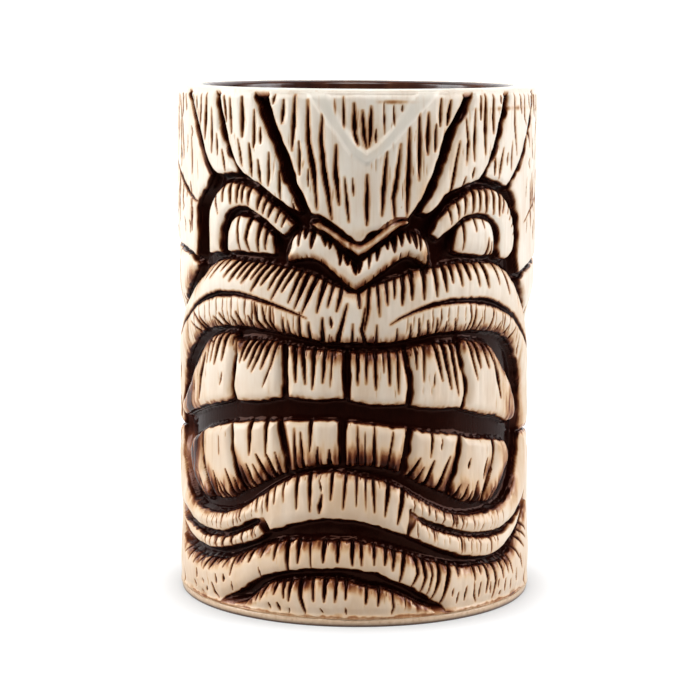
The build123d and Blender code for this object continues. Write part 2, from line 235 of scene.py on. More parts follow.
# Rounding of each kind of panel's edge: how far in it starts, and how far the edge has dropped
EDGES = {
    "forehead": (1.3, 0.45), "temple": (1.2, 0.4), "side": (1.2, 0.4), "back": (1.2, 0.4),
    "brow": (1.8, 0.55), "eye": (3.2, 0.9), "nose": (2.4, 1.0), "nose_bridge": (1.0, 0.6),
    "upper_lip": (3.6, 1.1), "lower_lip": (3.2, 1.0), "lip_fold": (1.6, 0.6),
    "upper_tooth": (2.0, 0.8), "lower_tooth": (2.0, 0.8), "jaw": (2.4, 0.8), "chin": (2.4, 0.8),
}


def edge_of(node):
    """The longest entry of EDGES that starts the node's name."""
    return EDGES[max((kind for kind in EDGES if node.startswith(kind)), key=len)]


def soft_min(a, b, blend):
    """The lower of two heights, with the corner between them rounded."""
    near = np.maximum(blend - np.abs(a - b), 0)
    return np.minimum(a, b) - near * near / (4 * blend)


across_grid, up_grid = np.meshgrid(columns, rows)
base_radius, base_height, normal_out, normal_up = profile(up_grid)
mouth = smooth(58, 48, np.abs(across_grid + 4)) * smooth(22, 30, up_grid) * smooth(72, 64, up_grid)
floor = GROOVE_FLOOR + (MOUTH_FLOOR - GROOVE_FLOOR) * mouth
floor = FOOT_LINE_FLOOR + (floor - FOOT_LINE_FLOOR) * smooth(FOOT + 0.5, FOOT + 4, up_grid)
floor = floor + noise("groove_floor", across_grid, up_grid)
relief = floor.copy()  # depth below the plain mug
inside = np.full(shape, -MARGIN)  # distance inside the nearest panel

# The carving wanders a little from the laid-out panels: the teeth reach further round, and the lower edge of
# the forehead's middle and the ridge above the nose sag on the right
TOOTH_SPREAD = 1.045
SAG = {"forehead_center": 2.6, "nose_bridge": 1.1}
SAG_MIDDLE, SAG_WIDTH, SAG_TOP = 6, 4.5, 100

panels = {}
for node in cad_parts:
    if node in ("cup_shell", "inner_glaze", "foot_ring"):
        continue
    edges, heights, radii = outline(node)
    if "tooth" in node:
        edges[:, :, 0] *= TOOTH_SPREAD
    if node in SAG:
        near = np.exp(-((edges[:, :, 0] - SAG_MIDDLE) / SAG_WIDTH) ** 2)
        edges[:, :, 1] -= SAG[node] * near * (edges[:, :, 1] < SAG_TOP)
    low, high = edges.min(axis=(0, 1)), edges.max(axis=(0, 1))
    lines, picked, across, up = window(low[0] - MARGIN, high[0] + MARGIN, low[1] - MARGIN, high[1] + MARGIN)
    inner = distance_inside(edges, across, up) + noise("outline", across, up)
    turn, drop = edge_of(node)
    radius, height, _, _ = profile(up)
    inset = np.maximum(radius - np.interp(height, heights, radii), 0)
    dome = drop * (1 - np.clip(inner / turn, 0, 1)) ** 2
    depth = inset + dome + WALL_SLOPE * np.maximum(-inner, 0)
    place = np.ix_(lines, picked)
    relief[place] = soft_min(relief[place], depth, PANEL_BLEND)
    inside[place] = np.maximum(inside[place], inner)
    panels[node] = {"lines": lines, "picked": picked, "inner": inner, "edges": edges}


# ---------------------------------------------------------------- cuts made by the carving tool
SHOULDER = 0.6  # how far the ivory is worn down beside a cut
SHOULDER_DEPTH = 0.32
CUT_TAPER = 0.55
cut = np.zeros(shape)
brown = np.zeros(shape)


def carve(points, width, peak=0.58, depth=None, halo=0.7, strength=1.0):
    """A tapered gouge along (across, up) points. peak is where along it it is widest, 0 for a root at its
    start. strength is 1 for a full cut filled with dark glaze, and less for a light scratch."""
    points = np.array(points, float)
    steps = np.hypot(*np.diff(points, axis=0).T)
    reach = np.concatenate([[0], np.cumsum(steps)]) / steps.sum()
    pad = width / 2 + 1.6
    (left, low), (right, high) = points.min(axis=0) - pad, points.max(axis=0) + pad
    lines, picked, across, up = window(left, right, low, high)
    nearest = np.full(across.shape, 1e9)
    along = np.zeros(across.shape)
    for a, b, start, end in zip(points, points[1:], reach, reach[1:]):
        gap, t = to_segment(across, up, a, b)
        closer = gap < nearest
        nearest = np.where(closer, gap, nearest)
        along = np.where(closer, start + t * (end - start), along)
    along = np.clip(along, 0, 1)
    rising = (along / peak) ** CUT_TAPER if peak > 0 else 1.0
    falling = ((1 - along) / (1 - peak)) ** CUT_TAPER
    taper = np.where(along < peak, rising, falling)
    half = np.maximum(width / 2 * taper * (1 + noise("ragged_cut", across, up)), 0.02)
    deepest = strength * (0.25 + 1.05 * width if depth is None else depth) * np.minimum(taper, 1)
    place = np.ix_(lines, picked)
    shoulder = strength * SHOULDER_DEPTH * min(width, 1) * taper * np.exp(-(nearest / (half + SHOULDER)) ** 2)
    cut[place] = np.maximum(cut[place], np.maximum(deepest * (1 - (nearest / half) ** 1.5), shoulder))
    core = smooth(-0.12, 0.2, half - nearest)
    rim = 0.4 * smooth(-halo, 0.1, half - nearest) * min(width, 1)
    colour = strength * np.maximum(core, rim) * smooth(0.02, 0.4, width * taper + 0.14)
    brown[place] = np.maximum(brown[place], colour)


def flat(numbers):
    """(across, height, across, height, ..., width) as a list of (across, up) points and the width."""
    *places, width = numbers
    return [(a, float(up_at(h))) for a, h in zip(places[::2], places[1::2])], width


FOREHEAD_CUTS = [
    # middle panel, from its left edge to its right
    (-19.5, 124.2, -20, 121.3, 0.7), (-17.2, 122.9, -17.7, 116.8, 0.8), (-14.4, 124.3, -15.2, 110.7, 0.9),
    (-13.5, 113.5, -13.3, 105.3, 0.8), (-11.4, 123.1, -11.3, 113.4, -10, 106.5, -9.1, 97.4, 1.2),
    (-11.3, 107.3, -11.2, 102.7, 0.5), (-7.9, 120.5, -8.3, 113.7, -7.6, 106.9, -5.7, 95.2, 1.2),
    (-4.8, 112.9, -4.9, 106, -4, 98.6, 1.1), (-2.9, 105.7, -1.8, 94.6, 0.8), (-1, 105.3, -0.8, 100.7, 0.5),
    (2.3, 106.2, 2.3, 94, 1.1), (6.8, 111.4, 6.2, 104, 5.7, 96.1, 1),
    (10, 113.1, 9.2, 105.1, 8.4, 100.5, 8.7, 95.4, 1.1), (12, 116.8, 12, 110.5, 11.6, 95.7, 1.2),
    (14.3, 120.5, 14.5, 112, 14.4, 104, 0.9), (16.6, 120.1, 16.4, 109.9, 1), (18.5, 117.4, 18.3, 110.6, 0.8),
    (19.8, 123.4, 19.5, 116.4, 0.8), (22.4, 122.9, 21.4, 116.6, 0.9),
    # short cuts above the smooth V
    (-5.2, 123.4, -5, 116.6, 0.4), (-3.2, 124.1, -3.1, 114.4, 0.6), (-0.8, 122.3, -0.6, 115, 0.2, 112, 1),
    (1.1, 120.7, 1.5, 115, 2.2, 111.5, 1), (3.1, 121.7, 3, 115, 2.6, 111.8, 1), (4.2, 116.4, 4.2, 112.8, 0.6),
    (6, 122.5, 6.2, 114.5, 0.5), (8.2, 121.8, 8.5, 116.2, 0.5), (10.3, 121.6, 10.2, 119.9, 0.5),
    # left of the middle
    (-47.6, 123.2, -46.9, 121.3, 0.5), (-45.5, 122.9, -45.7, 119.1, 0.5), (-43.2, 123.8, -44.1, 115.2, 0.6),
    (-40.9, 124.1, -41.9, 112.4, 0.9), (-38.8, 120.6, -39, 109.4, 0.7), (-37, 114.5, -36.7, 109, 0.6),
    (-35.1, 111, -33.9, 105.5, 0.6), (-34.4, 123.7, -33.5, 116.8, 0.7), (-32.4, 123.4, -31.7, 114.1, 0.6),
    (-28.5, 123.5, -28.5, 113.5, 1), (-25, 120.4, -25.2, 111.1, 0.8), (-23.3, 116.4, -23.3, 112.1, 0.6),
    (-29.9, 113.7, -28.5, 106.8, 0.6), (-26.6, 112.8, -25.7, 104.5, 0.8), (-24.1, 109.1, -23.3, 102.9, 0.7),
    (-21, 110.8, -21.2, 102.5, 0.8), (-18.5, 106.7, -18.2, 99.6, 0.7), (-15, 99.2, -14.8, 97.3, 0.6),
    (-48.5, 112.9, -48.3, 103.9, 0.6),
    # right of the middle
    (26.5, 119.3, 27.3, 113, 26.8, 107.2, 0.7), (29.3, 120.9, 29.2, 108.1, 0.8), (31, 123.9, 31, 117.6, 0.6),
    (32.5, 124.3, 32.7, 109.5, 0.9), (35.3, 124.2, 35.4, 114.3, 0.9), (38, 123.7, 38.2, 121.3, 0.6),
    (25, 113.5, 22.3, 99.5, 0.9), (26.8, 105.2, 25.9, 102.3, 0.6), (29.4, 107.2, 28.6, 104.3, 0.6),
    (43.7, 124.3, 44.1, 117, 45.3, 108.9, 0.6), (43.2, 113, 42.8, 105.5, 0.6), (41.3, 110.2, 41, 106.8, 0.5),
    (39.6, 111.5, 37.6, 103.8, 0.7), (36.5, 109.3, 36, 104.7, 0.6), (46.7, 123.9, 47.9, 118.6, 0.6),
    (49.1, 124.1, 49.8, 117.7, 51.1, 115.9, 0.6), (51.9, 123.8, 53.3, 119.7, 0.5),
    (52.1, 103.9, 51.1, 98.6, 0.4),
]

# Cuts that start in a groove, where they are widest, and run out to a point
ROOTED_CUTS = [
    # brow arches
    (-38, 99.4, -36.6, 95.2, 0.7), (-35, 102.6, -35, 98.3, 0.9), (-32.5, 103.2, -32.3, 97.9, 1.1),
    (-30, 103, -30.3, 98.2, 1), (-28.5, 102.6, -28.7, 98.3, 0.8), (-26.5, 102.2, -27, 97.9, 1),
    (-23.7, 100.6, -24.4, 96.9, 1.2), (-22, 99.6, -22.8, 96.1, 0.9), (-20.3, 98.4, -21.4, 95.3, 1),
    (-18.5, 97.3, -19.4, 94.1, 0.8), (-17, 96, -17.9, 93.1, 0.8), (27, 100.9, 26.7, 95.9, 0.9),
    (29.3, 101.7, 29.2, 96.2, 1), (31.3, 102, 31.3, 96.3, 0.9), (33.3, 102, 33.5, 96, 1),
    (35.8, 101.8, 36, 95.5, 1), (38.3, 101.2, 38, 95, 0.9), (40.5, 100, 39.1, 95.7, 0.9),
    (42.6, 97.6, 41.2, 95.4, 0.6), (43.8, 95.6, 42, 94, 0.6), (44.8, 93.3, 42.8, 92.3, 0.5),
    (45.3, 91, 43.6, 90.4, 0.5), (24.6, 99.5, 25, 94.9, 0.8), (22.3, 98, 23.1, 93.7, 0.7),
    # lids
    (-30.2, 95.8, -29.7, 86.9, 0.8), (-26.5, 95, -27.6, 90.3, -26.8, 87.1, 1), (-23.8, 94, -24.3, 87.2, 1.1),
    (-22, 92.6, -22.3, 87.8, 0.9), (26.8, 94.5, 26.5, 87.7, 0.8), (30.2, 95, 30.2, 91.8, 0.7),
    (34.2, 86, 34.4, 90.7, 0.8), (35.8, 85.8, 35.8, 89.7, 0.8), (32.8, 95, 33, 92.5, 0.6),
    # upper lip, cuts down from its top edge
    (-38.2, 84, -43.4, 78.6, 0.5), (-35.8, 84.6, -40.3, 79.8, 0.7), (-33.4, 85, -36.2, 81.8, 0.7),
    (-30.6, 85.2, -34.9, 80.6, 1), (-28.6, 85.2, -32.9, 79.8, 1.1), (-26.8, 85.2, -30.3, 80.5, 1),
    (-25, 85, -29.1, 79.6, 1.1), (-23, 85, -26.2, 80.7, 1), (-21.6, 84.8, -26.2, 78, 1.2),
    (-19.6, 84.6, -23.3, 79.6, 1.1), (-18, 84.4, -21.4, 78.6, 1.1), (-16.2, 84.2, -20.7, 76.3, 1.1),
    (-14.6, 83.8, -17.8, 78.3, 1.1), (-13, 83.4, -16.2, 75.8, 1.2), (-11.4, 82.8, -14.6, 74.6, 1.4),
    (-9.4, 82, -12.8, 73.6, 1.4), (-7.4, 81.2, -9.2, 73.8, 1.4), (-5.4, 80.6, -6.7, 75.1, 1.1),
    (-3.3, 80, -4.6, 74.2, 1.2), (0.5, 79, 0.8, 75, 1.4), (3, 80, 2.6, 74.1, 1.7, 69.2, 1.1),
    (4.9, 80.4, 5.4, 73, 1), (7, 81, 7.2, 75.6, 1.1), (8.9, 81.6, 8.8, 77.1, 0.9),
    (11, 82.4, 10.6, 75.5, 1.4), (13, 83, 13, 76.8, 1.3), (16, 84, 16, 76.8, 1.3),
    (18.9, 84.4, 19.3, 77.3, 1.3), (21, 84.6, 21.9, 78.3, 1.4), (23, 84.8, 23.5, 80.3, 1.1),
    (25.3, 84.9, 26.2, 79.4, 1.1), (27.6, 84.8, 28.6, 80.7, 1.4), (30.3, 84.8, 31.7, 78.9, 1),
    (33, 84.8, 34.7, 78.4, 1.3), (36.8, 84.3, 38.7, 78.8, 0.8), (40.3, 83.8, 43.1, 76.2, 1),
    # upper lip, cuts up from its lower edge
    (-43.4, 67.5, -48.4, 71.9, 1), (-45.5, 66.8, -49.7, 69, 0.7), (-42.4, 68, -45, 70.9, 0.9),
    (-36.4, 69.2, -38.8, 71.4, 0.8), (-34, 69.4, -36.6, 72.5, 0.9), (-31.3, 69.6, -32.4, 72.2, 0.9),
    (-29, 69.6, -30.7, 73.4, 1), (-25.9, 69.5, -27, 72.7, 0.9), (-22.8, 69.2, -24.6, 71.6, -25, 76.2, 1),
    (-20.8, 69.2, -22.2, 71.4, -23, 75.6, 0.9), (-19.6, 69, -20.8, 71.4, -20.7, 75.5, 0.9),
    (-17.8, 68.8, -17.3, 73, 1), (-16, 68.6, -16.2, 72.4, 0.7), (-13.5, 68.2, -13.3, 74.4, 1),
    (-11, 67.6, -11.1, 72.2, 1), (-8, 67.2, -7.8, 73.3, 1.3), (-4.4, 67, -3.4, 71.3, -2, 76.6, 1.4),
    (-1, 67, -0.8, 72, 0.9), (2.2, 66.8, 1.2, 70.2, 2.2, 76, 1.1), (4.8, 67, 4.7, 71.8, 0.8),
    (9.6, 67, 9.5, 70.8, 0.8), (13.1, 67.6, 12.6, 71.9, 0.9), (15.2, 68, 14.7, 73, 0.8),
    (17.6, 68.4, 16.9, 72.5, 0.9), (19.8, 68.8, 19.3, 72.9, 0.9), (22.2, 69, 22, 71.9, 0.7),
    (25.2, 69, 24.2, 72.4, 0.9), (28.4, 68.8, 29.4, 72.9, 0.7), (29.9, 68.8, 30.6, 74.3, 0.8),
    (31.4, 68.6, 32.6, 72.2, 0.7), (35.2, 68.4, 36.9, 73.7, 0.6), (38.6, 68, 39.8, 70.4, 0.6),
    (44.6, 65.8, 46.8, 68.4, 0.7), (42, 67.2, 43.7, 69.8, 0.6),
    # upper teeth
    (-40.2, 66.6, -41.9, 59.3, 0.7), (-38.2, 67, -40.5, 59.7, 0.8), (-36.2, 67.2, -38.8, 59.5, 1.2),
    (-34.1, 67.2, -35.9, 60.6, 1.2), (-27.6, 66.8, -30, 60.8, 1.3), (-25.7, 66.8, -28.4, 61.5, 1.3),
    (-24, 66.8, -27.3, 59.8, 1.2), (-22.4, 66.8, -26.2, 58.9, 1), (-20.9, 66.6, -23.6, 59.8, 1.2),
    (-19.2, 66.4, -21.1, 60, 1), (-14.7, 66, -14.3, 57.4, 1.6), (-12.7, 65.8, -11.9, 57, 1.4),
    (-9.9, 65.4, -10.2, 55.9, 1.4), (-7.3, 65.2, -7.8, 57.5, 1.3), (-5.5, 65, -6, 56.6, 0.7),
    (0.4, 65, 0.4, 57.1, 1.3), (2.4, 64.8, 2.4, 57.3, 1), (4.5, 64.8, 4.7, 56, 1.3),
    (7.7, 65, 7.9, 56.9, 1.2), (9.8, 65, 10.1, 54.9, 1), (6.3, 64.6, 6.5, 60, 0.7),
    (16.3, 65.8, 16.2, 57.5, 0.9), (19.1, 66.2, 21.3, 57.4, 1.2), (21.3, 66.4, 23.6, 55.3, 1.3),
    (23.4, 66.4, 25.7, 53.6, 1.2), (28.6, 66.4, 31.7, 56.7, 0.9), (30.6, 66.2, 32.6, 59.6, 1.2),
    (33, 65.8, 35.5, 59.2, 1), (34.9, 65.2, 37.4, 60.1, 1), (14.2, 65.6, 14.5, 60.5, 0.8),
    # lower teeth, cuts up from their lower edges
    (-43.9, 27, -49, 33.9, 0.8), (-41, 28, -42.6, 31.4, 1), (-38, 27.8, -40.1, 34.1, 1),
    (-35.9, 28, -39, 32.5, 1), (-34.5, 28.3, -37.3, 32, 0.9), (-32.4, 29.2, -35.4, 35.2, 1.2),
    (-30.9, 30, -32.6, 33.4, 1), (-27.8, 31.5, -30.1, 36.8, 1.2), (-25.9, 32, -28.5, 37.4, 1.2),
    (-23.8, 33.2, -26.4, 37.5, 1), (-21.7, 34, -25.5, 40, 1.4), (-19.9, 35, -22.5, 40.4, 1.3),
    (-18.5, 35.4, -20.1, 41, 1), (-14.6, 37, -14.9, 47.1, 1), (-12.7, 37.6, -13.3, 46.3, 1),
    (-9.4, 38, -9, 42.9, 1.3), (-6.1, 38.4, -6.3, 42.4, 1.2), (0.6, 38.4, 0.4, 48.6, 1),
    (4.4, 38, 4.5, 47.9, 1.2), (7.7, 37.4, 9.1, 46.6, 1), (13.1, 35.4, 16, 40.1, 1.3),
    (15, 34.4, 16.9, 37.8, 1), (17.1, 33.2, 19.6, 39.2, 1.3), (20.3, 31.6, 24, 39.9, 1.3),
    (25.5, 29.4, 27.4, 32.8, 1.2), (28.2, 28.8, 29.6, 32.4, 1), (29.9, 28, 30.8, 30.7, 1),
    (31.3, 27.8, 32.7, 33, 1), (33.4, 27.8, 34.2, 30.3, 0.9), (37.6, 27.6, 39, 30.7, 0.9),
    (40.1, 28.6, 41.1, 31.1, 0.8), (-22.5, 48, -22.6, 39, 1.2), (-27.2, 47, -27.4, 38.9, 1.4),
    (-10.8, 49, -11, 41.2, 1.2), (2.3, 38.2, 2.2, 46.9, 0.7), (19.2, 45.4, 18.5, 39.4, 0.8),
    # lower lip, cuts down from its top edge
    (-30, 26.6, -29.7, 24, 0.6), (-25, 29.4, -24.6, 25.5, 0.8), (-22, 31.6, -21.5, 26.4, 1),
    (-19.9, 33, -19.7, 28.2, 0.7), (-17.5, 34.4, -17.3, 28.8, 0.7), (-14, 35.6, -14, 27.6, 1.1),
    (-10.8, 36.6, -10.7, 27.1, 1.3), (-5.4, 36.8, -5.8, 30.1, 1), (-2.2, 36.8, -2.9, 27.9, 1.1),
    (0.3, 36.4, 0.2, 28.6, 0.8), (2.4, 36, 2.4, 27.1, 0.6), (4.2, 35.6, 4.5, 27.2, 1),
    (7.9, 34.4, 6.9, 26.2, 1.3), (11.6, 32.4, 9.9, 24.2, 1.4), (13.4, 27.6, 12.8, 22.4, 0.7),
    (18.3, 28.4, 18, 25.8, 0.6), (22.5, 26.6, 22, 23.8, 0.6), (25, 25.8, 24.8, 22.3, 0.7),
    (26.3, 25.4, 25.6, 22.1, 0.6), (27.8, 25.2, 27.5, 21.4, 0.7), (-36, 24.2, -35.8, 21.8, 0.5),
    # lower lip folds
    (-40.5, 18.2, -40.5, 15.1, 0.6), (-38.2, 18.6, -38, 15.1, 1), (-35.5, 18.8, -35.5, 15.3, 1),
    (-32.7, 19.6, -32.4, 16.5, 1), (-29.3, 20.8, -29, 17.7, 0.8), (-26, 22.3, -25.8, 19.3, 0.7),
    (-42.6, 17.8, -42.4, 15.2, 0.6), (27, 20.2, 27.2, 15.6, 0.7), (37, 18.6, 37, 14.2, 0.6),
    (19.3, 22.8, 19.4, 19.1, 0.6),
    # jaw band
    (-51.6, 13.4, -55.4, 10.7, 0.7), (-49.6, 13, -52.5, 9.4, 0.8), (-46, 12.8, -48.9, 9.4, 0.9),
    (-43.6, 12.6, -46.3, 9.9, 0.8), (-40.8, 12.8, -43.5, 9, 1.1), (-38.3, 13, -40.9, 9.4, 1.1),
    (-35.8, 13.6, -37.8, 11, 0.9), (-33.8, 14, -35.4, 10.9, 0.9), (-31.3, 15, -32.9, 9.2, 0.8),
    (-29.3, 15.8, -30.8, 12.4, 1.1), (-27.6, 16.6, -29.2, 13, 0.9), (-25.6, 17.4, -26.9, 13.4, 1.1),
    (-22.3, 18.6, -23.3, 15.2, 0.9), (-19.2, 19.4, -19.9, 14.8, 1.1), (-16.3, 20, -16.4, 11.9, 1.6),
    (-13.4, 20.4, -13.7, 14.6, 1.5), (-10.6, 20.6, -10.5, 13.7, 0.8), (-7.2, 21, -7.5, 15.2, 1.6),
    (-4, 21, -4.1, 15.2, 1.6), (-0.6, 20.8, -0.6, 14.5, 1.5), (1.4, 20.4, 1.6, 14.6, 1.2),
    (4.5, 19.8, 4.5, 14.7, 1.2), (7.4, 19.2, 7, 14.7, 1.4), (9.4, 18.6, 8.9, 13.2, 1.4),
    (11.9, 17.8, 10.7, 10.4, 1.4), (14.4, 17, 15.1, 12.5, 13.5, 8.9, 1.2),
    (16.4, 16.2, 17.1, 11.5, 15.9, 7.7, 1.2), (18.6, 15.6, 18.8, 11.6, 17.5, 6.4, 0.8),
    (20.8, 14.8, 20.6, 10.5, 18.8, 5.2, 1.2), (23.9, 14, 23.1, 10.1, 21.2, 3.7, 1.4),
    (26.6, 13.6, 25.9, 10.5, 1.4), (31, 13, 31.3, 8.7, 1.2), (35, 12.6, 35.9, 8.6, 35.5, 4.8, 1.1),
    (38, 12.4, 39.1, 7.5, 38.3, 2.5, 1.1), (41, 12.2, 42.3, 7.3, 0.9), (43, 12.6, 44.8, 8.1, 0.8),
    (44.6, 13, 47.1, 7.4, 0.7), (47.4, 14.4, 52.1, 10.1, 0.8), (49.6, 16.4, 54.5, 12.6, 0.8),
    (50.6, 18, 56.6, 14.2, 0.7), (52, 19.4, 57.6, 15.4, 0.7), (33, 12.8, 33.2, 9.7, 0.8),
    # chin
    (-24.6, 7.4, -25.3, 4.3, 1), (-22, 9, -23.8, 4.9, 1.1), (-19.1, 9.8, -20, 6.5, 1),
    (-17.3, 10.3, -17.3, 5.9, 1.1), (-15.4, 10.7, -16.1, 5.3, 1.2), (-13, 11, -13, 6.6, -11.7, 2, 1.5),
    (-10, 11.2, -9.8, 5.7, 1.1), (-7, 11.3, -7.3, 5.7, 1.5), (-4.3, 11.3, -4.7, 5.7, 1.2),
    (-2, 11.2, -2.2, 6.4, 1.4), (2.8, 9.8, 2.6, 5.4, 1.2), (5.8, 9.2, 5.5, 4.9, 1.1),
    (9, 8.8, 9.3, 4.6, 8.8, 2.4, 1), (12.3, 7.4, 12.1, 3, 0.6), (13.8, 6.6, 15.3, 4.1, 0.8),
    (-27.8, 4.9, -28.7, 2.8, 0.8),
]

# Free cuts on the lower half, pointed at both ends
LOWER_CUTS = [
    (-37.8, 43, -37.6, 37.4, 0.4), (-35.5, 58.6, -36.6, 54.8, 0.5), (-48.1, 55, -48.9, 51.2, 0.5),
    (-8.6, 35.4, -7.8, 32, 0.5), (-7.8, 32, -8.6, 26.8, 1.1), (19.2, 60.4, 18.8, 56, 0.4),
    (-20.5, 62, -23.2, 55.6, 0.5), (30.3, 38.6, 29.3, 35.8, 0.6), (36.2, 38.2, 34.5, 32.8, 0.7),
    (21.8, 44, 21.4, 41, 0.4), (-24, 13.2, -23.7, 10.4, 0.5), (24.7, 8.2, 24.5, 5.8, 0.5),
    (26.4, 7.2, 26, 3.8, 0.6), (28.7, 8.3, 28.2, 4.2, 0.6), (31, 9, 31.5, 5, 32.6, 3, 0.6),
    (-26.8, 5, -26.6, 2.8, 0.4), (-21.6, 4.8, -21, 2.9, 0.6), (-19.2, 5.2, -18.3, 2.6, 0.8),
    (-16, 4, -16, 2.6, 0.4), (-8.5, 4.7, -7.4, 3, 0.4), (-2.2, 5, -2, 2.8, 0.5),
    (-48.9, 5.5, -48.2, 3.6, 0.9), (-44, 6.8, -43.8, 5.4, 0.6), (-42, 5.2, -42.8, 3.8, 0.8),
    (-35, 9.6, -35, 7.6, 0.8), (-39.9, 6.8, -39.2, 4.2, -37.4, 2.8, 0.9), (-45.4, 3.8, -44.8, 2.6, 0.8),
    (-43, 66, -38, 64.6, 0.6), (-6, 73.4, -5.6, 70.4, 0.7), (41.4, 4.6, 41.8, 3.4, 0.7),
    (33.4, 8.6, 33, 4.4, 0.6), (36.8, 8, 37.4, 4.4, 0.6), (40.4, 8, 40.3, 5.4, 0.6),
    (43.4, 7.6, 43.8, 3.8, 0.7), (46.2, 6.8, 46.8, 3.6, 0.5), (48.8, 9, 50.2, 5, 0.6),
    (51.6, 12, 53.6, 7.4, 0.6), (-46.8, 9, -47.2, 6, 0.6), (-38, 9.2, -37.8, 6.6, 0.6),
    (-32.2, 8.4, -32.6, 5.6, 0.5),
]

# Long smooth folds across the lips, widest in the middle
FOLDS = [
    (-59, 64.3, -55, 67.5, -50, 70.8, -46, 73.5, -42, 75.3, -37, 76.8, -31, 77.3, -26, 76.8, -20, 75.5,
     -15, 74, -11.2, 72.6, 1.5),
    (7.5, 71.2, 10, 72.8, 13.5, 74.3, 18, 75.7, 23, 76.3, 29, 76.1, 34, 75.5, 38, 74.3, 42, 72.6,
     45.5, 70.8, 48, 68.8, 52, 65.3, 55.5, 61.8, 57, 59.5, 1.8),
    (-42.1, 62.5, -44.9, 56, -45.6, 50.3, 1.1),
    (37, 62, 39, 57, 40.4, 51.5, 1.2),
]

# Furrows beside the temples, thin and curved, which run out at their tips
FURROWS = [
    (-66, 108, -60, 105, -55, 102.5, -50, 99.5, -45.2, 97.8, 1.1),
    (49.5, 92.8, 53, 94.5, 57, 96.3, 61, 98, 67, 100.5, 0.7),
]

# Each table with where its cuts are widest, and their depth where it doesn't follow the width
for table, peak, cut_depth in (
    (FOREHEAD_CUTS, 0.58, None), (ROOTED_CUTS, 0, None), (LOWER_CUTS, 0.58, None), (FOLDS, 0.5, 1.3),
    (FURROWS, 0.7, 1.0),
):
    for numbers in table:
        points, width = flat(numbers)
        carve(points, width, peak, cut_depth)


def edge_height(edges, across, side):
    """Height of an outline's top (side 1) or bottom (side -1) edge at a place across, or None."""
    heights = []
    for (ax, ay), (bx, by) in edges:
        if (ax - across) * (bx - across) < 0:
            heights.append(ay + (by - ay) * (across - ax) / (bx - ax))
    return side * max(side * h for h in heights) if heights else None


def fringe(node, side, left, right, spacing, length, width):
    """A row of short cuts that start on a panel's top or bottom edge and run inwards."""
    across = left
    while across < right:
        edge = edge_height(panels[node]["edges"], across, side)
        reach = length * rng.uniform(0.5, 1.3)
        tilt = rng.uniform(-0.25, 0.25)
        size = width * rng.uniform(0.6, 1.2)
        if edge is not None:
            tip = (across - side * tilt * reach, edge - side * reach)
            carve([(across, edge + side * 0.5), tip], size, peak=0, halo=0.35)
        across += spacing * rng.uniform(0.7, 1.3)


RIB_STRENGTH = 0.8


def ribs(left, right, top, bottom, spacing, width):
    """Fine lines across a band, between two heights that depend on the place across."""
    across = left
    while across < right:
        high, low = top(across), bottom(across)
        bend, lean = rng.uniform(-0.4, 0.4), rng.uniform(-0.5, 0.5)
        size, peak, share = width * rng.uniform(0.7, 1.3), rng.uniform(0.2, 0.8), rng.uniform(0.4, 1.2)
        if high is not None and low is not None:
            line = [(across, high), (across + bend, (high + low) / 2), (across + lean, low)]
            carve(line, size, peak=peak, halo=0.4, strength=RIB_STRENGTH * share)
        across += spacing * rng.uniform(0.6, 1.4)


def edge_line(node, side):
    """A panel's top or bottom edge as a function of the place across."""
    return lambda across: edge_height(panels[node]["edges"], across, side)


def fold_line(fold):
    """A fold of the lips as a function of the place across."""
    return lambda across: float(np.interp(across, fold[:-1:2], fold[1:-1:2]))


def bark(left, right, low, high, count, scale=1.0):
    """Scattered upright gouges of many lengths, like weathered bark."""
    for _ in range(count):
        across, up = rng.uniform(left, right), rng.uniform(low, high)
        length = scale * rng.uniform(3, 13) * rng.uniform(0.5, 1)
        width = rng.uniform(0.3, 0.55) + length * rng.uniform(0.01, 0.05)
        bend, lean = rng.uniform(-0.6, 0.6), rng.uniform(-0.6, 0.6)
        top, bottom = min(up + length / 2, high), max(up - length / 2, low)
        carve([(across + lean, top), (across + bend, (top + bottom) / 2), (across - lean, bottom)],
              width, peak=rng.uniform(0.4, 0.7))


# Node, its top (1) or bottom (-1) edge, from and to across, spacing, length and width
FRINGES = [
    ("nose", 1, -17.5, 18.5, 1.9, 2.9, 1.7), ("nose", -1, -13, 16, 1.6, 1.2, 0.5),
    ("upper_lip", -1, -46, 46, 1.1, 1.6, 0.45), ("lower_lip", 1, -40, 32, 1.6, 1.4, 0.4),
    ("lip_fold_left", 1, -44, -22, 1.5, 1.2, 0.4), ("lip_fold_right", 1, 15, 40, 1.6, 1.2, 0.4),
    ("jaw_band", 1, -50, 46, 1.3, 1.3, 0.4), ("chin", 1, -26, 16, 1.2, 1.2, 0.4),
]
UPPER_TEETH = [f"upper_tooth_{number}" for number in range(1, 7)]
LOWER_TEETH = [f"lower_tooth_{number}" for number in range(1, 9)]
FRINGES += [(node, 1, -46, 44, 1.5, 1.8, 0.5) for node in UPPER_TEETH]
FRINGES += [(node, -1, -48, 44, 1.3, 1.8, 0.5) for node in LOWER_TEETH]
for numbers in FRINGES:
    fringe(*numbers)

ribs(-52, -14, fold_line(FOLDS[0]), edge_line("upper_lip", -1), 2.0, 0.45)
ribs(12, 50, fold_line(FOLDS[1]), edge_line("upper_lip", -1), 2.0, 0.45)
for node, left, right, spacing, width in (
    ("lower_lip", -44, -22, 1.7, 0.4), ("lower_lip", 14, 42, 1.7, 0.4),
    ("lip_fold_left", -44, -22, 1.8, 0.45), ("lip_fold_right", 15, 40, 2.0, 0.45),
):
    ribs(left, right, edge_line(node, 1), edge_line(node, -1), spacing, width)

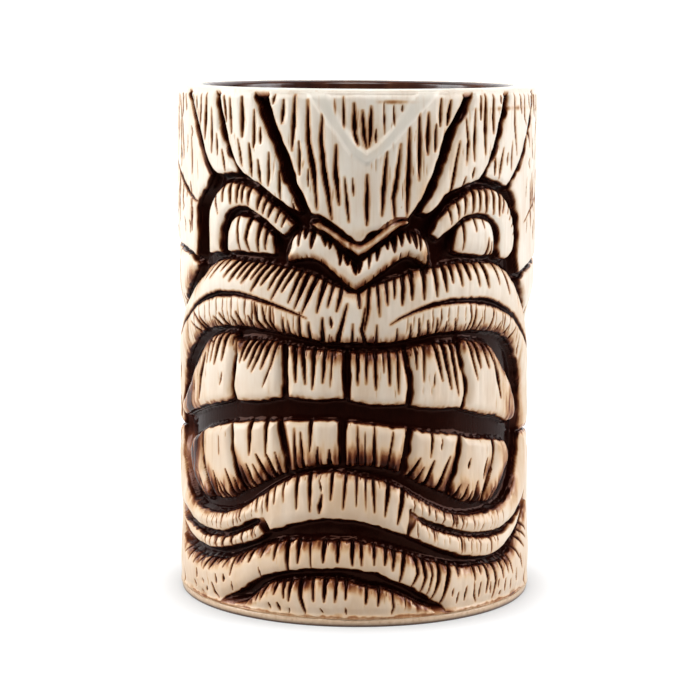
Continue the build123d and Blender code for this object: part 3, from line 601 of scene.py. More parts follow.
# Faint scratches on the forehead, the teeth and the jaw: from and to across, from and to up, and how many
TOP = CREST_UP - 3
BARK_LOW = 4
for left, right, low, high, count in ((-46, 42, 98, TOP, 130), (-50, 50, 30, 62, 70), (-45, 45, 5, 20, 30)):
    for _ in range(count):
        across, up, length = rng.uniform(left, right), rng.uniform(low, high), rng.uniform(2, 7)
        lean, size, faint = rng.uniform(-0.3, 0.3), rng.uniform(0.25, 0.4), rng.uniform(0.15, 0.45)
        scratch = [(across + lean, up), (across - lean, max(up - length, low))]
        carve(scratch, size, halo=0.5, strength=faint)
bark(-64, -48, 90, TOP, 34)
bark(52, 68, 90, TOP, 26)
bark(-79, -58, BARK_LOW, TOP, 90, 1.3)
bark(58, 79, BARK_LOW, TOP, 90, 1.3)
bark(82, GIRTH - 82, BARK_LOW, TOP, 420, 1.7)

# Long wavering gouges down the back
LONG_SPACING = 8.5
for across in np.arange(88, GIRTH - 84, LONG_SPACING):
    heights = np.arange(rng.uniform(6, 22), rng.uniform(92, 120), 9)
    drift = across + np.cumsum(rng.uniform(-0.9, 0.9, len(heights)))
    carve(list(zip(drift, heights)), rng.uniform(1.1, 1.7), peak=rng.uniform(0.35, 0.65), depth=1.5)


# ---------------------------------------------------------------- glaze stain and the finished surface
# Places where a groove is nearly closed by the clay: across, up and size
BRIDGES = ((-23.3, 25, 1.7), (13.8, 25.4, 1.7), (54.5, 47, 2.6), (-57.5, 47, 2.6))


def wash(across, up, wide, tall, strength, lean=0.0):
    """A soft oval patch, strongest at its middle: brown glaze run over the ivory, a warmer patch of the tone,
    and the places where a groove is nearly closed.
    """
    u = across_grid - across - lean * (up_grid - up)
    v = up_grid - up
    return strength * np.exp(-(u / wide) ** 2 - (v / tall) ** 2)


def edge_wash(node, side, reach, strength):
    """Brown glaze that has run in from a panel's top (side 1) or bottom (side -1) edge and fades."""
    panel = panels[node]
    place = np.ix_(panel["lines"], panel["picked"])
    middle = panel["edges"][:, :, 0].mean()
    around = (columns[panel["picked"]] - middle + GIRTH / 2) % GIRTH - GIRTH / 2 + middle
    heights = [edge_height(panel["edges"], across, side) for across in around]
    edge = np.array([np.nan if h is None else h for h in heights])
    gap = side * (edge[None, :] - up_grid[place])
    faded = strength * np.exp(-(np.maximum(gap, 0) / reach) ** 2) * (panel["inner"] > -1)
    washes[place] = np.maximum(washes[place], np.nan_to_num(faded))


washes = np.zeros(shape)
# Node, its top (1) or bottom (-1) edge, how far the glaze has run, and how dark it is
EDGE_WASHES = [(node, 1, 2.6, 0.62) for node in UPPER_TEETH] + [(node, -1, 0.8, 0.35) for node in UPPER_TEETH]
EDGE_WASHES += [(node, -1, 4.3, 0.84) for node in LOWER_TEETH]
EDGE_WASHES += [
    ("jaw_band", 1, 2.2, 0.64), ("chin", 1, 2.4, 0.6), ("upper_lip", -1, 1.5, 0.55),
    ("upper_lip", 1, 1.3, 0.4), ("lower_lip", 1, 1.2, 0.42), ("nose", -1, 1.3, 0.58),
    ("nose_bridge", 1, 0.8, 0.6),
    ("nose_bridge", -1, 0.8, 0.55), ("brow_arch_left", 1, 0.9, 0.35), ("brow_arch_right", 1, 0.9, 0.35),
]
for numbers in EDGE_WASHES:
    edge_wash(*numbers)
# Across, up, width, height and strength, and the lean of a patch that isn't upright
WASHES = (
    (-51, 45, 6, 17, 0.9), (47, 46, 5, 16, 0.85), (-50, 78, 5, 4, 0.55, 0.5), (50, 75, 3, 4, 0.5, -0.5),
    (-42.8, 90, 2.2, 7, 0.8), (-30, 32, 8, 2, 0.45, -0.6), (26, 31, 8, 2, 0.45, 0.6),
    (-18.5, 88, 1.5, 4, 0.7), (-10, 82.6, 6, 1.8, 0.5), (12, 83.5, 5, 1.6, 0.7),
    (17.3, 87.3, 2.2, 2.4, 0.75, 0.3),
    (40, 120.3, 12, 0.6, 0.34, -0.06), (8, 122.2, 4, 0.5, 0.4), (22, 111, 3, 8, 0.16, -0.3),
    (3, 116, 3, 6, 0.14), (16.5, 101, 4, 8, 0.15), (2, 92, 6, 2, 0.18), (-12, 99, 3, 6, 0.12),
)
for patch in WASHES:
    washes = np.maximum(washes, wash(*patch))

# A smooth V stands proud of the strokes in the middle of the forehead, broader towards the rim
V_LINE = (
    (-13, 129), (-9.4, 124.5), (-5.4, 117.8), (-0.6, 111.2), (2.3, 109.4), (5.6, 111.9), (11.3, 118.2),
    (16.4, 124.5), (19.5, 129),
)
from_line = np.full(shape, 9.0)
for a, b in zip(V_LINE, V_LINE[1:]):
    from_line = np.minimum(from_line, to_segment(across_grid, up_grid, a, b)[0])
from_line -= 0.8 * smooth(115, 126, up_grid)
band = 1 - smooth(0.6, 1.7, from_line)
swell = 1 - smooth(0.5, 1.9, from_line)
cut *= 1 - 0.95 * band
brown *= 1 - 0.95 * band

crest = 1 - smooth(PANEL_TOP - 0.3, PANEL_TOP + 0.5, up_grid)
grain = noise("fine_grain", across_grid, up_grid) + noise("broad_grain", across_grid, up_grid)
bare_depth = 0.5 + grain * (1 - 0.8 * band) - 0.48 * swell
for across, up, size in BRIDGES:
    relief *= 1 - wash(across, up, size, size, 0.8)
# Low down beside the ends of the lips the grooves are shallow
around_face = np.abs(across_grid)
relief *= 1 - 0.6 * smooth(52, 61, around_face) * (1 - smooth(34, 42, up_grid)) * (around_face < 72)
cut *= smooth(-0.5, 0, inside)
depth = soft_min(relief + cut, floor + 0.5, CUT_BLEND) * crest
depth = np.maximum(depth + bare_depth * crest * smooth(FOOT, FOOT + 2, up_grid), 0)
rim_turn = np.clip((up_grid - ROUND_START) / RIM_ROUND, 0, pi / 2)
deepest = DEEPEST_WALL - (DEEPEST_WALL - DEEPEST_RIM) * smooth(0, 0.55, rim_turn)
depth = np.minimum(depth, deepest)

stain = 1 - smooth(-0.28, 0.26, inside + noise("stain_edge", across_grid, up_grid))
uneven_halo = 0.13 + noise("halo", across_grid, up_grid)
stain += uneven_halo * np.exp(-np.maximum(inside, 0) / 0.8) * smooth(-0.4, 0.3, inside)
stain = np.maximum(stain, brown)
streaks = noise("fine_streak", across_grid, up_grid) + noise("broad_streak", across_grid, up_grid)
stain = np.maximum(stain, washes * (0.85 + streaks))
stain *= 0.3 + 0.7 * smooth(FOOT, FOOT + 2.2, up_grid)
# A broken brown line just over the foot, with smears above it
along_foot = np.full(shape, 8.0)
line = smooth(-0.5, 0.3, noise("foot_line", across_grid, along_foot))
smears = 0.6 * smooth(0.2, 0.8, noise("foot_smear", across_grid, along_foot))
line *= np.exp(-((up_grid - FOOT - 0.3) / 0.35) ** 2)
smears *= np.exp(-((up_grid - FOOT - 0.9) / 0.8) ** 2)
stain = np.maximum(stain, 0.55 * (line + smears))
for across, up, size in BRIDGES:
    stain *= 1 - wash(across, up, size, size, 0.55)
stain *= 1 - 0.5 * smooth(51, 60, around_face) * (1 - smooth(36, 44, up_grid)) * (around_face < 72)
stain = np.clip(stain * crest, 0, 1)

# Tone of the ivory, 0 cool and pale, 1 warm and dark. Most of it is painted shade and light: warmer and
# darker towards the foot, as painted shade where less light falls from above, and cooler and paler round the
# sides, as painted light from the side lamps. A warmer patch right of the forehead's middle and random
# unevenness are added, and the smooth V is greyer.
tone = 0.22 + 0.92 * (1 - np.minimum(up_grid, 120) / 120) - 0.2 * smooth(15, 45, around_face)
tone += wash(24, 112, 10, 12, 0.3) + noise("tone", across_grid, up_grid)
tone = np.clip(tone, 0, 1) * (1 - swell) - 0.12 * swell


# ---------------------------------------------------------------- pieces
BEHIND = 0.1  # spacing of the layers out of sight: a panel's dived edge, its back, and the cup under it
DIVE = 3.0  # how steeply a panel's edge dives out of sight
SINK = 1.6  # how steeply the cup falls away under a panel


def wall_points(below, lines, picked):
    """Points at a depth below the plain mug, in millimetres."""
    place = np.ix_(lines, picked)
    radius = base_radius[place] - below * normal_out[place]
    height = base_height[place] - below * normal_up[place]
    angle = columns[picked] / ARC_RADIUS
    return np.stack([radius * np.sin(angle), -radius * np.cos(angle), height], axis=-1)


def add_piece(name, slot, points, quads, others, stain_values, tone_values, material):
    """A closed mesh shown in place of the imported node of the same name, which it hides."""
    sizes = [4] * len(quads) + [len(p) for p in others]
    corners = np.concatenate([np.ravel(quads)] + [np.ravel(p) for p in others]).astype(np.int32)
    mesh = bpy.data.meshes.new(name)
    mesh.vertices.add(len(points))
    mesh.vertices.foreach_set("co", (np.asarray(points) * MM).astype(np.float32).ravel())
    mesh.loops.add(len(corners))
    mesh.loops.foreach_set("vertex_index", corners)
    mesh.polygons.add(len(sizes))
    mesh.polygons.foreach_set("loop_start", np.concatenate([[0], np.cumsum(sizes)[:-1]]).astype(np.int32))
    mesh.polygons.foreach_set("use_smooth", np.ones(len(sizes), bool))
    mesh.update(calc_edges=True)
    mesh.validate()
    for key, values in (("stain", stain_values), ("tone", tone_values)):
        layer = mesh.attributes.new(key, "FLOAT", "POINT")
        layer.data.foreach_set("value", np.asarray(values, np.float32))
    mesh.materials.append(material)
    piece = bpy.data.objects.new(name + "_look", mesh)
    bpy.context.scene.collection.objects.link(piece)
    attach(piece, "root")
    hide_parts(name)
    return piece


def whole_blocks(numbers):
    """The stretch of a run of row or column numbers that starts on a block and holds only whole blocks."""
    first = -numbers[0] % BLOCK
    count = (len(numbers) - first - 1) // BLOCK * BLOCK + 1
    return slice(first, first + count)


def panel_piece(node, panel, material):
    """A carved panel: its part of the common surface, an edge that dives under the wall, and a plain back."""
    tall, wide = whole_blocks(panel["lines"]), whole_blocks(panel["picked"])
    lines, picked = panel["lines"][tall], panel["picked"][wide]
    inner = panel["inner"][tall, wide]
    place = np.ix_(lines, picked)
    own = np.minimum(inner, PANEL_TOP - up_grid[place]) - np.maximum(inside[place] - inner, 0)
    high, broad = (len(lines) - 1) // BLOCK, (len(picked) - 1) // BLOCK
    keep = np.zeros((high, broad), bool)
    for i in range(BLOCK + 1):
        for j in range(BLOCK + 1):
            keep |= own[i:i + BLOCK * high:BLOCK, j:j + BLOCK * broad:BLOCK] > -SEAT - 0.3
    while True:
        a, b, c, d = keep[:-1, :-1], keep[1:, 1:], keep[:-1, 1:], keep[1:, :-1]
        crossed = (a & b & ~c & ~d) | (c & d & ~a & ~b)
        if not crossed.any():
            break
        keep[:-1, :-1] |= crossed
        keep[1:, 1:] |= crossed
        keep[:-1, 1:] |= crossed

    cells = np.kron(keep, np.ones((BLOCK, BLOCK), bool))
    used = np.zeros(inner.shape, bool)
    for i in (0, 1):
        for j in (0, 1):
            used[i:len(lines) - 1 + i, j:len(picked) - 1 + j] |= cells
    front = np.full(inner.shape, -1)
    front[used] = np.arange(used.sum())
    below = np.minimum(depth[place] + DIVE * np.maximum(-own - SEAT, 0), deepest[place] + BEHIND)
    points = [wall_points(below, lines, picked)[used]]
    quads = [np.stack([front[:-1, :-1], front[:-1, 1:], front[1:, 1:], front[1:, :-1]], axis=-1)[cells]]

    back = np.full(inner.shape, -1)
    rear = wall_points(deepest[place] + 2 * BEHIND, lines, picked)
    rear_points, skirts, faces = [], [], []
    solid = np.pad(keep, 1)
    for block_row, block_column in zip(*np.nonzero(keep)):
        i, j = block_row * BLOCK, block_column * BLOCK
        sides = (
            (solid[block_row, block_column + 1], i, j, 0, 1),
            (solid[block_row + 1, block_column + 2], i, j + BLOCK, 1, 0),
            (solid[block_row + 2, block_column + 1], i + BLOCK, j + BLOCK, 0, -1),
            (solid[block_row + 1, block_column], i + BLOCK, j, -1, 0),
        )
        ring = []
        for neighbour, y, x, dy, dx in sides:
            steps = [(y + dy * n, x + dx * n) for n in range(BLOCK + 1)]
            for spot in steps if not neighbour else (steps[0], steps[-1]):
                if back[spot] < 0:
                    back[spot] = used.sum() + len(rear_points)
                    rear_points.append(rear[spot])
            ring += steps[:-1] if not neighbour else steps[:1]
            if not neighbour:
                skirts += [(front[b], front[a], back[a], back[b]) for a, b in zip(steps, steps[1:])]
        faces.append([back[spot] for spot in reversed(ring)])
    points = np.concatenate(points + [np.array(rear_points)])
    quads = np.concatenate(quads + [np.array(skirts)])
    rear_count = len(rear_points)
    stains = np.concatenate([stain[place][used], np.ones(rear_count)])
    tones = np.concatenate([tone[place][used], np.zeros(rear_count)])
    return add_piece(node, "carved_glaze", points, quads, faces, stains, tones, material)


def ring_quads(count, around):
    """Faces between neighbouring rings of points, each ring closed on itself."""
    i, j = np.meshgrid(np.arange(count - 1), np.arange(around), indexing="ij")
    k = (j + 1) % around
    near, far = i * around, (i + 1) * around
    return np.stack([near + j, near + k, far + k, far + j], -1).reshape(-1, 4)


def capped(rings, around, first, last):
    """Rings of points closed by a fan to a middle point at each end: the points, the quads and the fans."""
    count = len(rings) // around
    last_ring = (count - 1) * around
    fans = [(len(rings), (j + 1) % around, j) for j in range(around)]
    fans += [(last_ring + j, last_ring + (j + 1) % around, len(rings) + 1) for j in range(around)]
    return np.concatenate([rings, [first, last]]), ring_quads(count, around), fans


def turned(radii, heights, angles):
    """Rings of points for a turned shape, with a number or a row of numbers for each ring."""
    rings = [
        np.stack([r * np.sin(angles), -r * np.cos(angles), np.broadcast_to(h, angles.shape)], -1)
        for r, h in zip(radii, heights)
    ]
    return np.concatenate(rings)


def arc(centre_radius, centre_height, size, start, end, steps):
    """Points of a quarter turn in the mug's section, angles in degrees from outwards."""
    angles = np.radians(np.linspace(start, end, steps))
    return list(zip(centre_radius + size * np.cos(angles), centre_height + size * np.sin(angles)))


# ---------------------------------------------------------------- materials
def ramp(nodes, stops):
    """A colour ramp from (position, red, green, blue) stops."""
    node = nodes.new("ShaderNodeValToRGB")
    elements = node.color_ramp.elements
    while len(elements) < len(stops):
        elements.new(1)
    for element, (position, red, green, blue) in zip(elements, stops):
        element.position = position
        element.color = (red, green, blue, 1)
    return node


class Look:
    """A Principled material and a few short cuts for building its node tree."""

    def __init__(self, name):
        self.material = bpy.data.materials.new(name)
        self.material.use_nodes = True
        self.nodes = self.material.node_tree.nodes
        self.shader = self.nodes["Principled BSDF"]
        self.place = self.nodes.new("ShaderNodeTexCoord").outputs["Object"]

    def link(self, source, target):
        self.material.node_tree.links.new(source, target)

    def attribute(self, name):
        node = self.nodes.new("ShaderNodeAttribute")
        node.attribute_name = name
        return node.outputs["Fac"]

    def noise(self, across, up, detail=3.0):
        """Noise in features per metre across and up."""
        mapping = self.nodes.new("ShaderNodeMapping")
        mapping.inputs["Scale"].default_value = (across, across, up)
        noise = self.nodes.new("ShaderNodeTexNoise")
        noise.inputs["Scale"].default_value = 1.0
        noise.inputs["Detail"].default_value = detail
        self.link(self.place, mapping.inputs["Vector"])
        self.link(mapping.outputs["Vector"], noise.inputs["Vector"])
        return noise.outputs["Fac"]

    def math(self, operation, a, b):
        node = self.nodes.new("ShaderNodeMath")
        node.operation = operation
        for socket, value in zip(node.inputs, (a, b)):
            if isinstance(value, (int, float)):
                socket.default_value = value
            else:
                self.link(value, socket)
        return node.outputs["Value"]

    def spread(self, value, low, high, start, end):
        """value carried from low..high to start..end."""
        node = self.nodes.new("ShaderNodeMapRange")
        for socket, number in zip(("From Min", "From Max", "To Min", "To Max"), (low, high, start, end)):
            node.inputs[socket].default_value = number
        self.link(value, node.inputs["Value"])
        return node.outputs["Result"]

    def ramp(self, value, stops):
        node = ramp(self.nodes, stops)
        self.link(value, node.inputs["Fac"])
        return node.outputs["Color"]

    def blend(self, amount, a, b, mode="MIX"):
        node = self.nodes.new("ShaderNodeMix")
        node.data_type = "RGBA"
        node.blend_type = mode
        self.link(amount, node.inputs[0])
        for socket, value in ((node.inputs[6], a), (node.inputs[7], b)):
            if isinstance(value, tuple):
                socket.default_value = (*value, 1)
            else:
                self.link(value, socket)
        return node.outputs[2]

    def bump(self, height, strength, distance):
        node = self.nodes.new("ShaderNodeBump")
        node.inputs["Strength"].default_value = strength
        node.inputs["Distance"].default_value = distance
        self.link(height, node.inputs["Height"])
        self.link(node.outputs["Normal"], self.shader.inputs["Normal"])


# Ivory along the tone: grey on the smooth V, cool and pale where the tone paints light, warm and dark where
# it paints shade
IVORY_GREY = (0.73, 0.675, 0.585)
IVORY_COOL_LIT = (0.84, 0.76, 0.655)
IVORY_WARM_SHADED = (0.61, 0.43, 0.28)
TAN = (0.60, 0.41, 0.24)
BROWN_GLAZE = (  # from a thin wash to a deep pool
    (0.0, 0.76, 0.60, 0.42), (0.2, 0.64, 0.43, 0.25), (0.4, 0.40, 0.19, 0.08), (0.58, 0.17, 0.05, 0.018),
    (0.8, 0.045, 0.009, 0.004), (1.0, 0.009, 0.0013, 0.0007),
)
GLOSS_TINT = (1.0, 0.42, 0.28)
WELL_BROWN = ((0.3, 0.024, 0.007, 0.004), (0.55, 0.055, 0.017, 0.009), (0.8, 0.13, 0.045, 0.02))
FOOT_IVORY = ((0.3, 0.70, 0.52, 0.36), (0.6, 0.60, 0.42, 0.27), (0.85, 0.34, 0.18, 0.08))
BARE_CLAY = ((0.3, 0.62, 0.52, 0.40), (0.7, 0.50, 0.39, 0.28))
# Dark brown-black of the foot's painted shade, where it turns under
FOOT_PAINTED_SHADE = (0.05, 0.015, 0.008)
FINE_BUMP = 0.0003
WELL_BUMP = 0.0004


def carved_glaze(name):
    """Ivory glaze over the carving, with brown glaze pooled dark and glossy in the cuts."""
    look = Look(name)
    stain_here, tone_here = look.attribute("stain"), look.attribute("tone")
    mottle = look.noise(260, 90, 4)
    streak = look.noise(1500, 60, 2)
    fleck = look.noise(1600, 700, 4)
    uneven = look.math("SUBTRACT", mottle, 0.5)
    fine = look.math("SUBTRACT", fleck, 0.5)
    broken = look.math("ADD", look.math("MULTIPLY", uneven, 0.45), look.math("MULTIPLY", fine, 0.3))
    edge = look.math("MULTIPLY", stain_here, look.math("SUBTRACT", 1.05, stain_here))
    edge = look.math("MULTIPLY", edge, 3.2)
    amount = look.math("ADD", stain_here, look.math("MULTIPLY", broken, edge))

    # The tone, mostly painted shade and light, with random mottling
    painted_shade_and_mottle = look.math("ADD", tone_here, look.math("MULTIPLY", uneven, 0.9))
    ivory = look.ramp(look.spread(painted_shade_and_mottle, -0.3, 1.1, 0.0, 1.0), (
        (0.0, *IVORY_GREY), (0.3, *IVORY_COOL_LIT), (1.0, *IVORY_WARM_SHADED),
    ))
    patches = look.spread(mottle, 0.4, 0.65, 0.0, 1.0)
    tan = look.math("MULTIPLY", look.spread(streak, 0.52, 0.75, 0.0, 0.5), patches)
    ivory = look.blend(tan, ivory, TAN)
    glaze = look.ramp(amount, BROWN_GLAZE)
    colour = look.blend(look.spread(amount, 0.02, 0.22, 0.0, 1.0), ivory, glaze)
    look.link(colour, look.shader.inputs["Base Color"])
    pooled = look.spread(amount, 0.3, 0.9, 0.0, 1.0)
    look.link(look.spread(pooled, 0.0, 1.0, 0.45, 0.12), look.shader.inputs["Specular IOR Level"])
    look.link(look.blend(pooled, (1.0, 1.0, 1.0), GLOSS_TINT), look.shader.inputs["Specular Tint"])
    satin = look.math("ADD", look.spread(amount, 0.1, 0.7, 0.36, 0.10), look.math("MULTIPLY", fine, 0.16))
    look.link(satin, look.shader.inputs["Roughness"])
    height = look.math("ADD", look.math("MULTIPLY", streak, 0.45), look.math("MULTIPLY", fleck, 0.4))
    look.bump(height, 0.2, FINE_BUMP)
    return look.material


def well_glaze():
    """The dark brown gloss of the well."""
    look = Look("well_glaze")
    run = look.noise(120, 25, 3)
    look.link(look.ramp(run, WELL_BROWN), look.shader.inputs["Base Color"])
    look.link(look.spread(look.noise(300, 300, 2), 0.3, 0.7, 0.14, 0.26), look.shader.inputs["Roughness"])
    look.bump(look.noise(400, 200, 2), 0.15, WELL_BUMP)
    return look.material


def foot_glaze():
    """Thin ivory glaze on the foot, wiped off underneath to bare clay, with painted shade that is dark where
    the foot turns under.
    """
    look = Look("foot_glaze")
    stain_here = look.attribute("stain")
    speckle = look.noise(900, 900, 4)
    bare = look.attribute("tone")
    shade = look.blend(bare, look.ramp(speckle, FOOT_IVORY), look.ramp(speckle, BARE_CLAY))
    # The stain attribute on the foot is painted shade
    look.link(look.blend(stain_here, shade, FOOT_PAINTED_SHADE), look.shader.inputs["Base Color"])
    look.link(look.spread(bare, 0, 1, 0.35, 0.85), look.shader.inputs["Roughness"])
    look.bump(speckle, 0.3, FINE_BUMP)
    return look.material


carved = carved_glaze("carved_glaze")
for node, panel in panels.items():
    panel_piece(node, panel, carved)

# The cup: the wall between the panels, the rim, the well and the underside in one closed skin, on every
# second row and column of the grid, and every fourth column at the back
fine_count = int((columns < FACE_EDGE).sum())
cup_lines = np.arange(0, len(rows), 2)
cup_columns = np.concatenate([np.arange(0, fine_count, 2), np.arange(fine_count, len(columns), 4)])
cup_place = np.ix_(cup_lines, cup_columns)
under_panel = np.minimum(inside, PANEL_TOP - up_grid)[cup_place] + SEAT
cup_depth = np.minimum(depth[cup_place] + SINK * np.maximum(under_panel, 0), deepest[cup_place] + 3 * BEHIND)
cup_angles = columns[cup_columns] / ARC_RADIUS
wall = wall_points(cup_depth, cup_lines, cup_columns).reshape(-1, 3)
LIP_RADIUS = WELL + LIP_ROUND
LIP_HEIGHT = HEIGHT - LIP_ROUND
FILLET_RADIUS = WELL - FLOOR_ROUND
FILLET_TOP = FLOOR_TOP + FLOOR_ROUND
underside = [(r, FOOT) for r in (12, 24, 34, 40)]
lip = [(r, HEIGHT) for r in (41.4, 40.5, 39.6)] + arc(LIP_RADIUS, LIP_HEIGHT, LIP_ROUND, 90, 180, 9)
well_wall = [(WELL, h) for h in np.linspace(LIP_HEIGHT, FILLET_TOP, 30)[1:]]
fillet = arc(FILLET_RADIUS, FILLET_TOP, FLOOR_ROUND, 0, -90, 9)[1:]
well_floor = [(r, FLOOR_TOP) for r in (24, 16, 8)]
before = turned(*zip(*underside), cup_angles)
after = turned(*zip(*(lip + well_wall + fillet + well_floor)), cup_angles)
cup_rings = np.concatenate([before, wall, after])
# Stain and tone of the underside, and tone of the lip and the clay behind the well's glaze
UNDERSIDE_STAIN, UNDERSIDE_TONE, LIP_TONE = 0.1, 0.6, 0.3
cup_stain = [np.full(len(before), UNDERSIDE_STAIN), stain[cup_place].ravel(), np.zeros(len(after) + 2)]
cup_tone = [np.full(len(before), UNDERSIDE_TONE), tone[cup_place].ravel(), np.full(len(after) + 2, LIP_TONE)]
add_piece(
    "cup_shell", "groove_glaze", *capped(cup_rings, len(cup_angles), (0, 0, FOOT), (0, 0, FLOOR_TOP)),
    np.concatenate(cup_stain), np.concatenate(cup_tone), carved_glaze("groove_glaze"),
)

# The glaze inside the well, with an uneven upper edge that thins out on the lip
TURNED_STEPS = 320
EMBED = 0.08  # the glaze's back lies a little way into the clay
GLAZE_START = 108  # where on the lip, in degrees from outwards, the glaze begins
GLAZE_START_VARIES = 9
turned_angles = np.linspace(0, 2 * pi, TURNED_STEPS, endpoint=False)
turned_across = turned_angles * ARC_RADIUS
glaze_edge = noise("well_edge", turned_across, np.full(TURNED_STEPS, 10.0))
glaze_edge += noise("fine_well_edge", turned_across, np.full(TURNED_STEPS, 30.0))
start_turn = GLAZE_START + GLAZE_START_VARIES * glaze_edge
front_path, rear_path = [], []
for step in np.linspace(0, 1, 10):
    turn = np.radians(start_turn + (180 - start_turn) * step)
    coat = LINING * smooth(0, 1, step)
    for path, offset in ((front_path, coat), (rear_path, -EMBED)):
        size = LIP_ROUND + offset
        path.append((LIP_RADIUS + size * np.cos(turn), LIP_HEIGHT + size * np.sin(turn)))
for height in np.linspace(LIP_HEIGHT, FILLET_TOP, 24)[1:]:
    front_path.append((WELL - LINING, height))
    rear_path.append((WELL + EMBED, height))
front_path += arc(FILLET_RADIUS, FILLET_TOP, FLOOR_ROUND - LINING, 0, -90, 9)[1:]
rear_path += arc(FILLET_RADIUS, FILLET_TOP, FLOOR_ROUND, 0, -90, 9)[1:]
front_path += [(r, FLOOR_TOP + LINING) for r in (20, 10)]
rear_path += [(r, FLOOR_TOP) for r in (20, 10)]
glaze_rings = turned(*zip(*(rear_path[::-1] + front_path)), turned_angles)
blank = np.zeros(len(glaze_rings) + 2)
add_piece(
    "inner_glaze", "well_glaze",
    *capped(glaze_rings, TURNED_STEPS, (0, 0, FLOOR_TOP), (0, 0, FLOOR_TOP + LINING)),
    blank, blank, well_glaze(),
)

# The foot: a slightly uneven turned ring
FOOT_ROUND = 0.5
FOOT_WAVE = 0.06
foot_edge = FOOT_OUTER - FOOT_WAVE * (1 + noise("foot_wave", turned_across, np.full(TURNED_STEPS, 50.0)))
# Radius, height, painted shade and bareness of each ring, from under the foot, up its side and back down
# inside; the shade is darkest where the foot turns under and fades up its side
foot_rings = [(FOOT_INNER, 0, 0, 1), (foot_edge - FOOT_ROUND, 0, 1, 0.9)]
for turn, ring_shade, ring_bare in ((radians(-60), 1, 0.5), (radians(-30), 0.95, 0), (0, 0.8, 0)):
    ring_radius = foot_edge - FOOT_ROUND + FOOT_ROUND * cos(turn)
    foot_rings.append((ring_radius, FOOT_ROUND + FOOT_ROUND * sin(turn), ring_shade, ring_bare))
# Painted shade fading up the foot's side: height and how dark
SHADE_FADE_UP = ((0.75, 0.45), (0.95, 0.25), (1.15, 0.12), (1.4, 0.06))
foot_rings += [(foot_edge, h, amount, 0) for h, amount in SHADE_FADE_UP]
foot_rings += [(foot_edge - 0.1, FOOT, 0.3, 0), (FOOT_INNER + 0.3, FOOT, 0.3, 1)]
foot_rings += [(FOOT_INNER, FOOT - 0.4, 0, 1), (FOOT_INNER, 0.4, 0, 1)]
foot_radii, foot_heights, foot_shade, foot_bare = zip(*foot_rings)
closing = ring_quads(2, TURNED_STEPS).copy()
closing[:, :2] += (len(foot_rings) - 1) * TURNED_STEPS
closing[:, 2:] -= TURNED_STEPS
add_piece(
    "foot_ring", "foot_glaze", turned(foot_radii, foot_heights, turned_angles),
    np.concatenate([ring_quads(len(foot_rings), TURNED_STEPS), closing]), [],
    np.repeat(foot_shade, TURNED_STEPS), np.repeat(foot_bare, TURNED_STEPS), foot_glaze(),
)


# ---------------------------------------------------------------- studio
STAGE_SIZE = 6
WALL_AWAY, WALL_MIDDLE = 1.6, 2.5  # how far from the mug the backdrops are, and the height of their middle
FLOOR_GREY = (0.3, 0.3, 0.3)
WALL_WHITE = (0.9, 0.9, 0.9)


def stage_plane(name, place, turn, colour, glow=0.0):
    mesh = bpy.data.meshes.new(name)
    half = STAGE_SIZE / 2
    corners = [(-half, -half, 0), (half, -half, 0), (half, half, 0), (-half, half, 0)]
    mesh.from_pydata(corners, [], [(0, 1, 2, 3)])
    material = bpy.data.materials.new(name)
    material.use_nodes = True
    shader = material.node_tree.nodes["Principled BSDF"]
    shader.inputs["Base Color"].default_value = (*colour, 1)
    shader.inputs["Roughness"].default_value = 0.9
    shader.inputs["Emission Color"].default_value = (1, 1, 1, 1)
    shader.inputs["Emission Strength"].default_value = glow
    mesh.materials.append(material)
    plane = bpy.data.objects.new(name, mesh)
    plane.location = place
    plane.rotation_euler = turn
    bpy.context.scene.collection.objects.link(plane)
    return plane


def backdrop(name, x, y, turn):
    place = (x, y, WALL_MIDDLE)
    return stage_plane(name, place, (radians(90), 0, radians(turn)), WALL_WHITE, 1.0)


def softbox(name, place, aim, wide, tall, power, colour=(1, 1, 1)):
    light = bpy.data.lights.new(name, "AREA")
    light.shape = "RECTANGLE"
    light.size, light.size_y = wide, tall
    light.energy = power
    light.color = colour
    lamp = bpy.data.objects.new(name, light)
    lamp.location = place
    lamp.rotation_euler = (Vector(aim) - Vector(place)).to_track_quat("-Z", "Y").to_euler()
    bpy.context.scene.collection.objects.link(lamp)


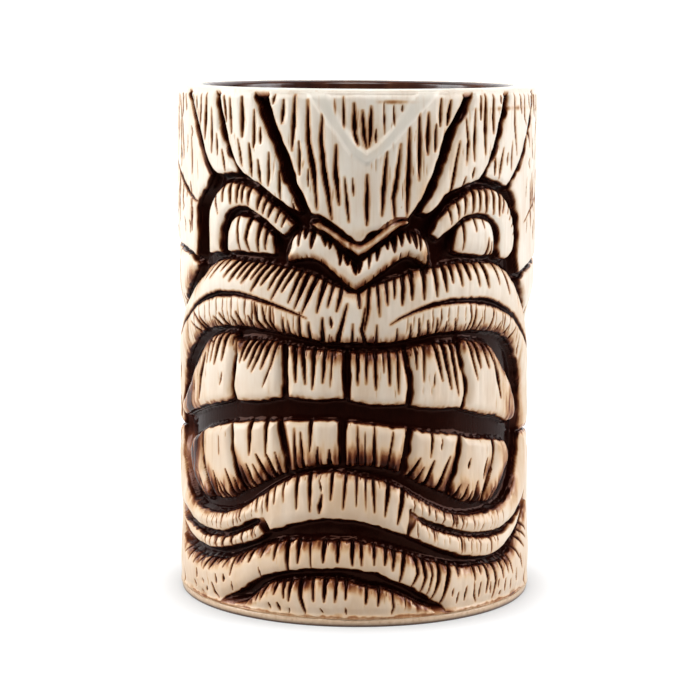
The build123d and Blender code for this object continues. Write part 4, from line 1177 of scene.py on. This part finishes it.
def floor_glow(plane, stops, dark_front):
    """A glow that follows (distance from the mug's axis, strength) stops and, with dark_front, stops short of
    the ground in front of the face."""
    tree = plane.data.materials[0].node_tree
    position = tree.nodes.new("ShaderNodeTexCoord").outputs["Object"]
    length = tree.nodes.new("ShaderNodeVectorMath")
    length.operation = "LENGTH"
    tree.links.new(position, length.inputs[0])
    rings = ramp(tree.nodes, [(reach, strength, strength, strength) for reach, strength in stops])
    tree.links.new(length.outputs["Value"], rings.inputs["Fac"])
    glow = rings.outputs["Color"]
    if dark_front:
        split = tree.nodes.new("ShaderNodeSeparateXYZ")
        tree.links.new(position, split.inputs["Vector"])
        fade = tree.nodes.new("ShaderNodeMapRange")
        fade.inputs["From Min"].default_value, fade.inputs["From Max"].default_value = -0.15, -0.10
        tree.links.new(split.outputs["Y"], fade.inputs["Value"])
        product = tree.nodes.new("ShaderNodeMath")
        product.operation = "MULTIPLY"
        tree.links.new(glow, product.inputs[0])
        tree.links.new(fade.outputs["Result"], product.inputs[1])
        glow = product.outputs["Value"]
    tree.links.new(glow, tree.nodes["Principled BSDF"].inputs["Emission Strength"])


floor_seen = stage_plane("floor", (0, 0, 0), (0, 0, 0), FLOOR_GREY)
floor_light = stage_plane("floor_light", (0, 0, -0.0002), (0, 0, 0), FLOOR_GREY)
floor_light.visible_camera = False
# Both glows are weaker close round the foot: a painted contact shadow on the floor that is seen, and a
# painted shadow in the light that floor_light gives the mug
floor_glow(floor_seen, ((0.0415, 0.38), (0.052, 0.72), (0.25, 0.72), (0.9, 1.0)), False)
floor_glow(floor_light, ((0.0415, 0.25), (0.056, 0.72)), True)
backdrop("backdrop", 0, WALL_AWAY, 0)
# The floor and the walls that the camera sees don't light the mug, so that its face isn't lit from below
room = [
    floor_seen, backdrop("backdrop_front", 0, -WALL_AWAY, 0), backdrop("backdrop_left", -WALL_AWAY, 0, 90),
    backdrop("backdrop_right", WALL_AWAY, 0, 90),
]
for plane in room:
    plane.visible_diffuse = False
    plane.visible_glossy = False
MUG_MIDDLE = (0, 0, 0.10)
softbox("left_softbox", (-0.87, -0.14, 0.42), MUG_MIDDLE, 0.5, 0.7, 8.8)
softbox("right_softbox", (0.87, -0.14, 0.42), MUG_MIDDLE, 0.5, 0.7, 7.4, (0.98, 0.98, 1.0))
softbox("top_softbox", (0, -0.42, 0.75), (0, 0, 0.13), 0.4, 0.3, 3.3)

world = bpy.data.worlds.new("studio")
world.use_nodes = True
background = world.node_tree.nodes["Background"]
background.inputs["Color"].default_value = (1, 1, 1, 1)
background.inputs["Strength"].default_value = 0.06
bpy.context.scene.world = world
bpy.context.scene.view_settings.view_transform = "Standard"

CAMERA_DOWN, CAMERA_TURN, CAMERA_ROLL = 8.42, 0.068, -0.3  # degrees
camera_data = bpy.data.cameras.new("camera")
camera_data.lens = 113.9
camera = bpy.data.objects.new("camera", camera_data)
camera.location = (-0.0012, -0.546, 0.140)
camera.rotation_euler = (radians(90 - CAMERA_DOWN), radians(CAMERA_ROLL), radians(CAMERA_TURN))
bpy.context.scene.collection.objects.link(camera)
bpy.context.scene.camera = camera
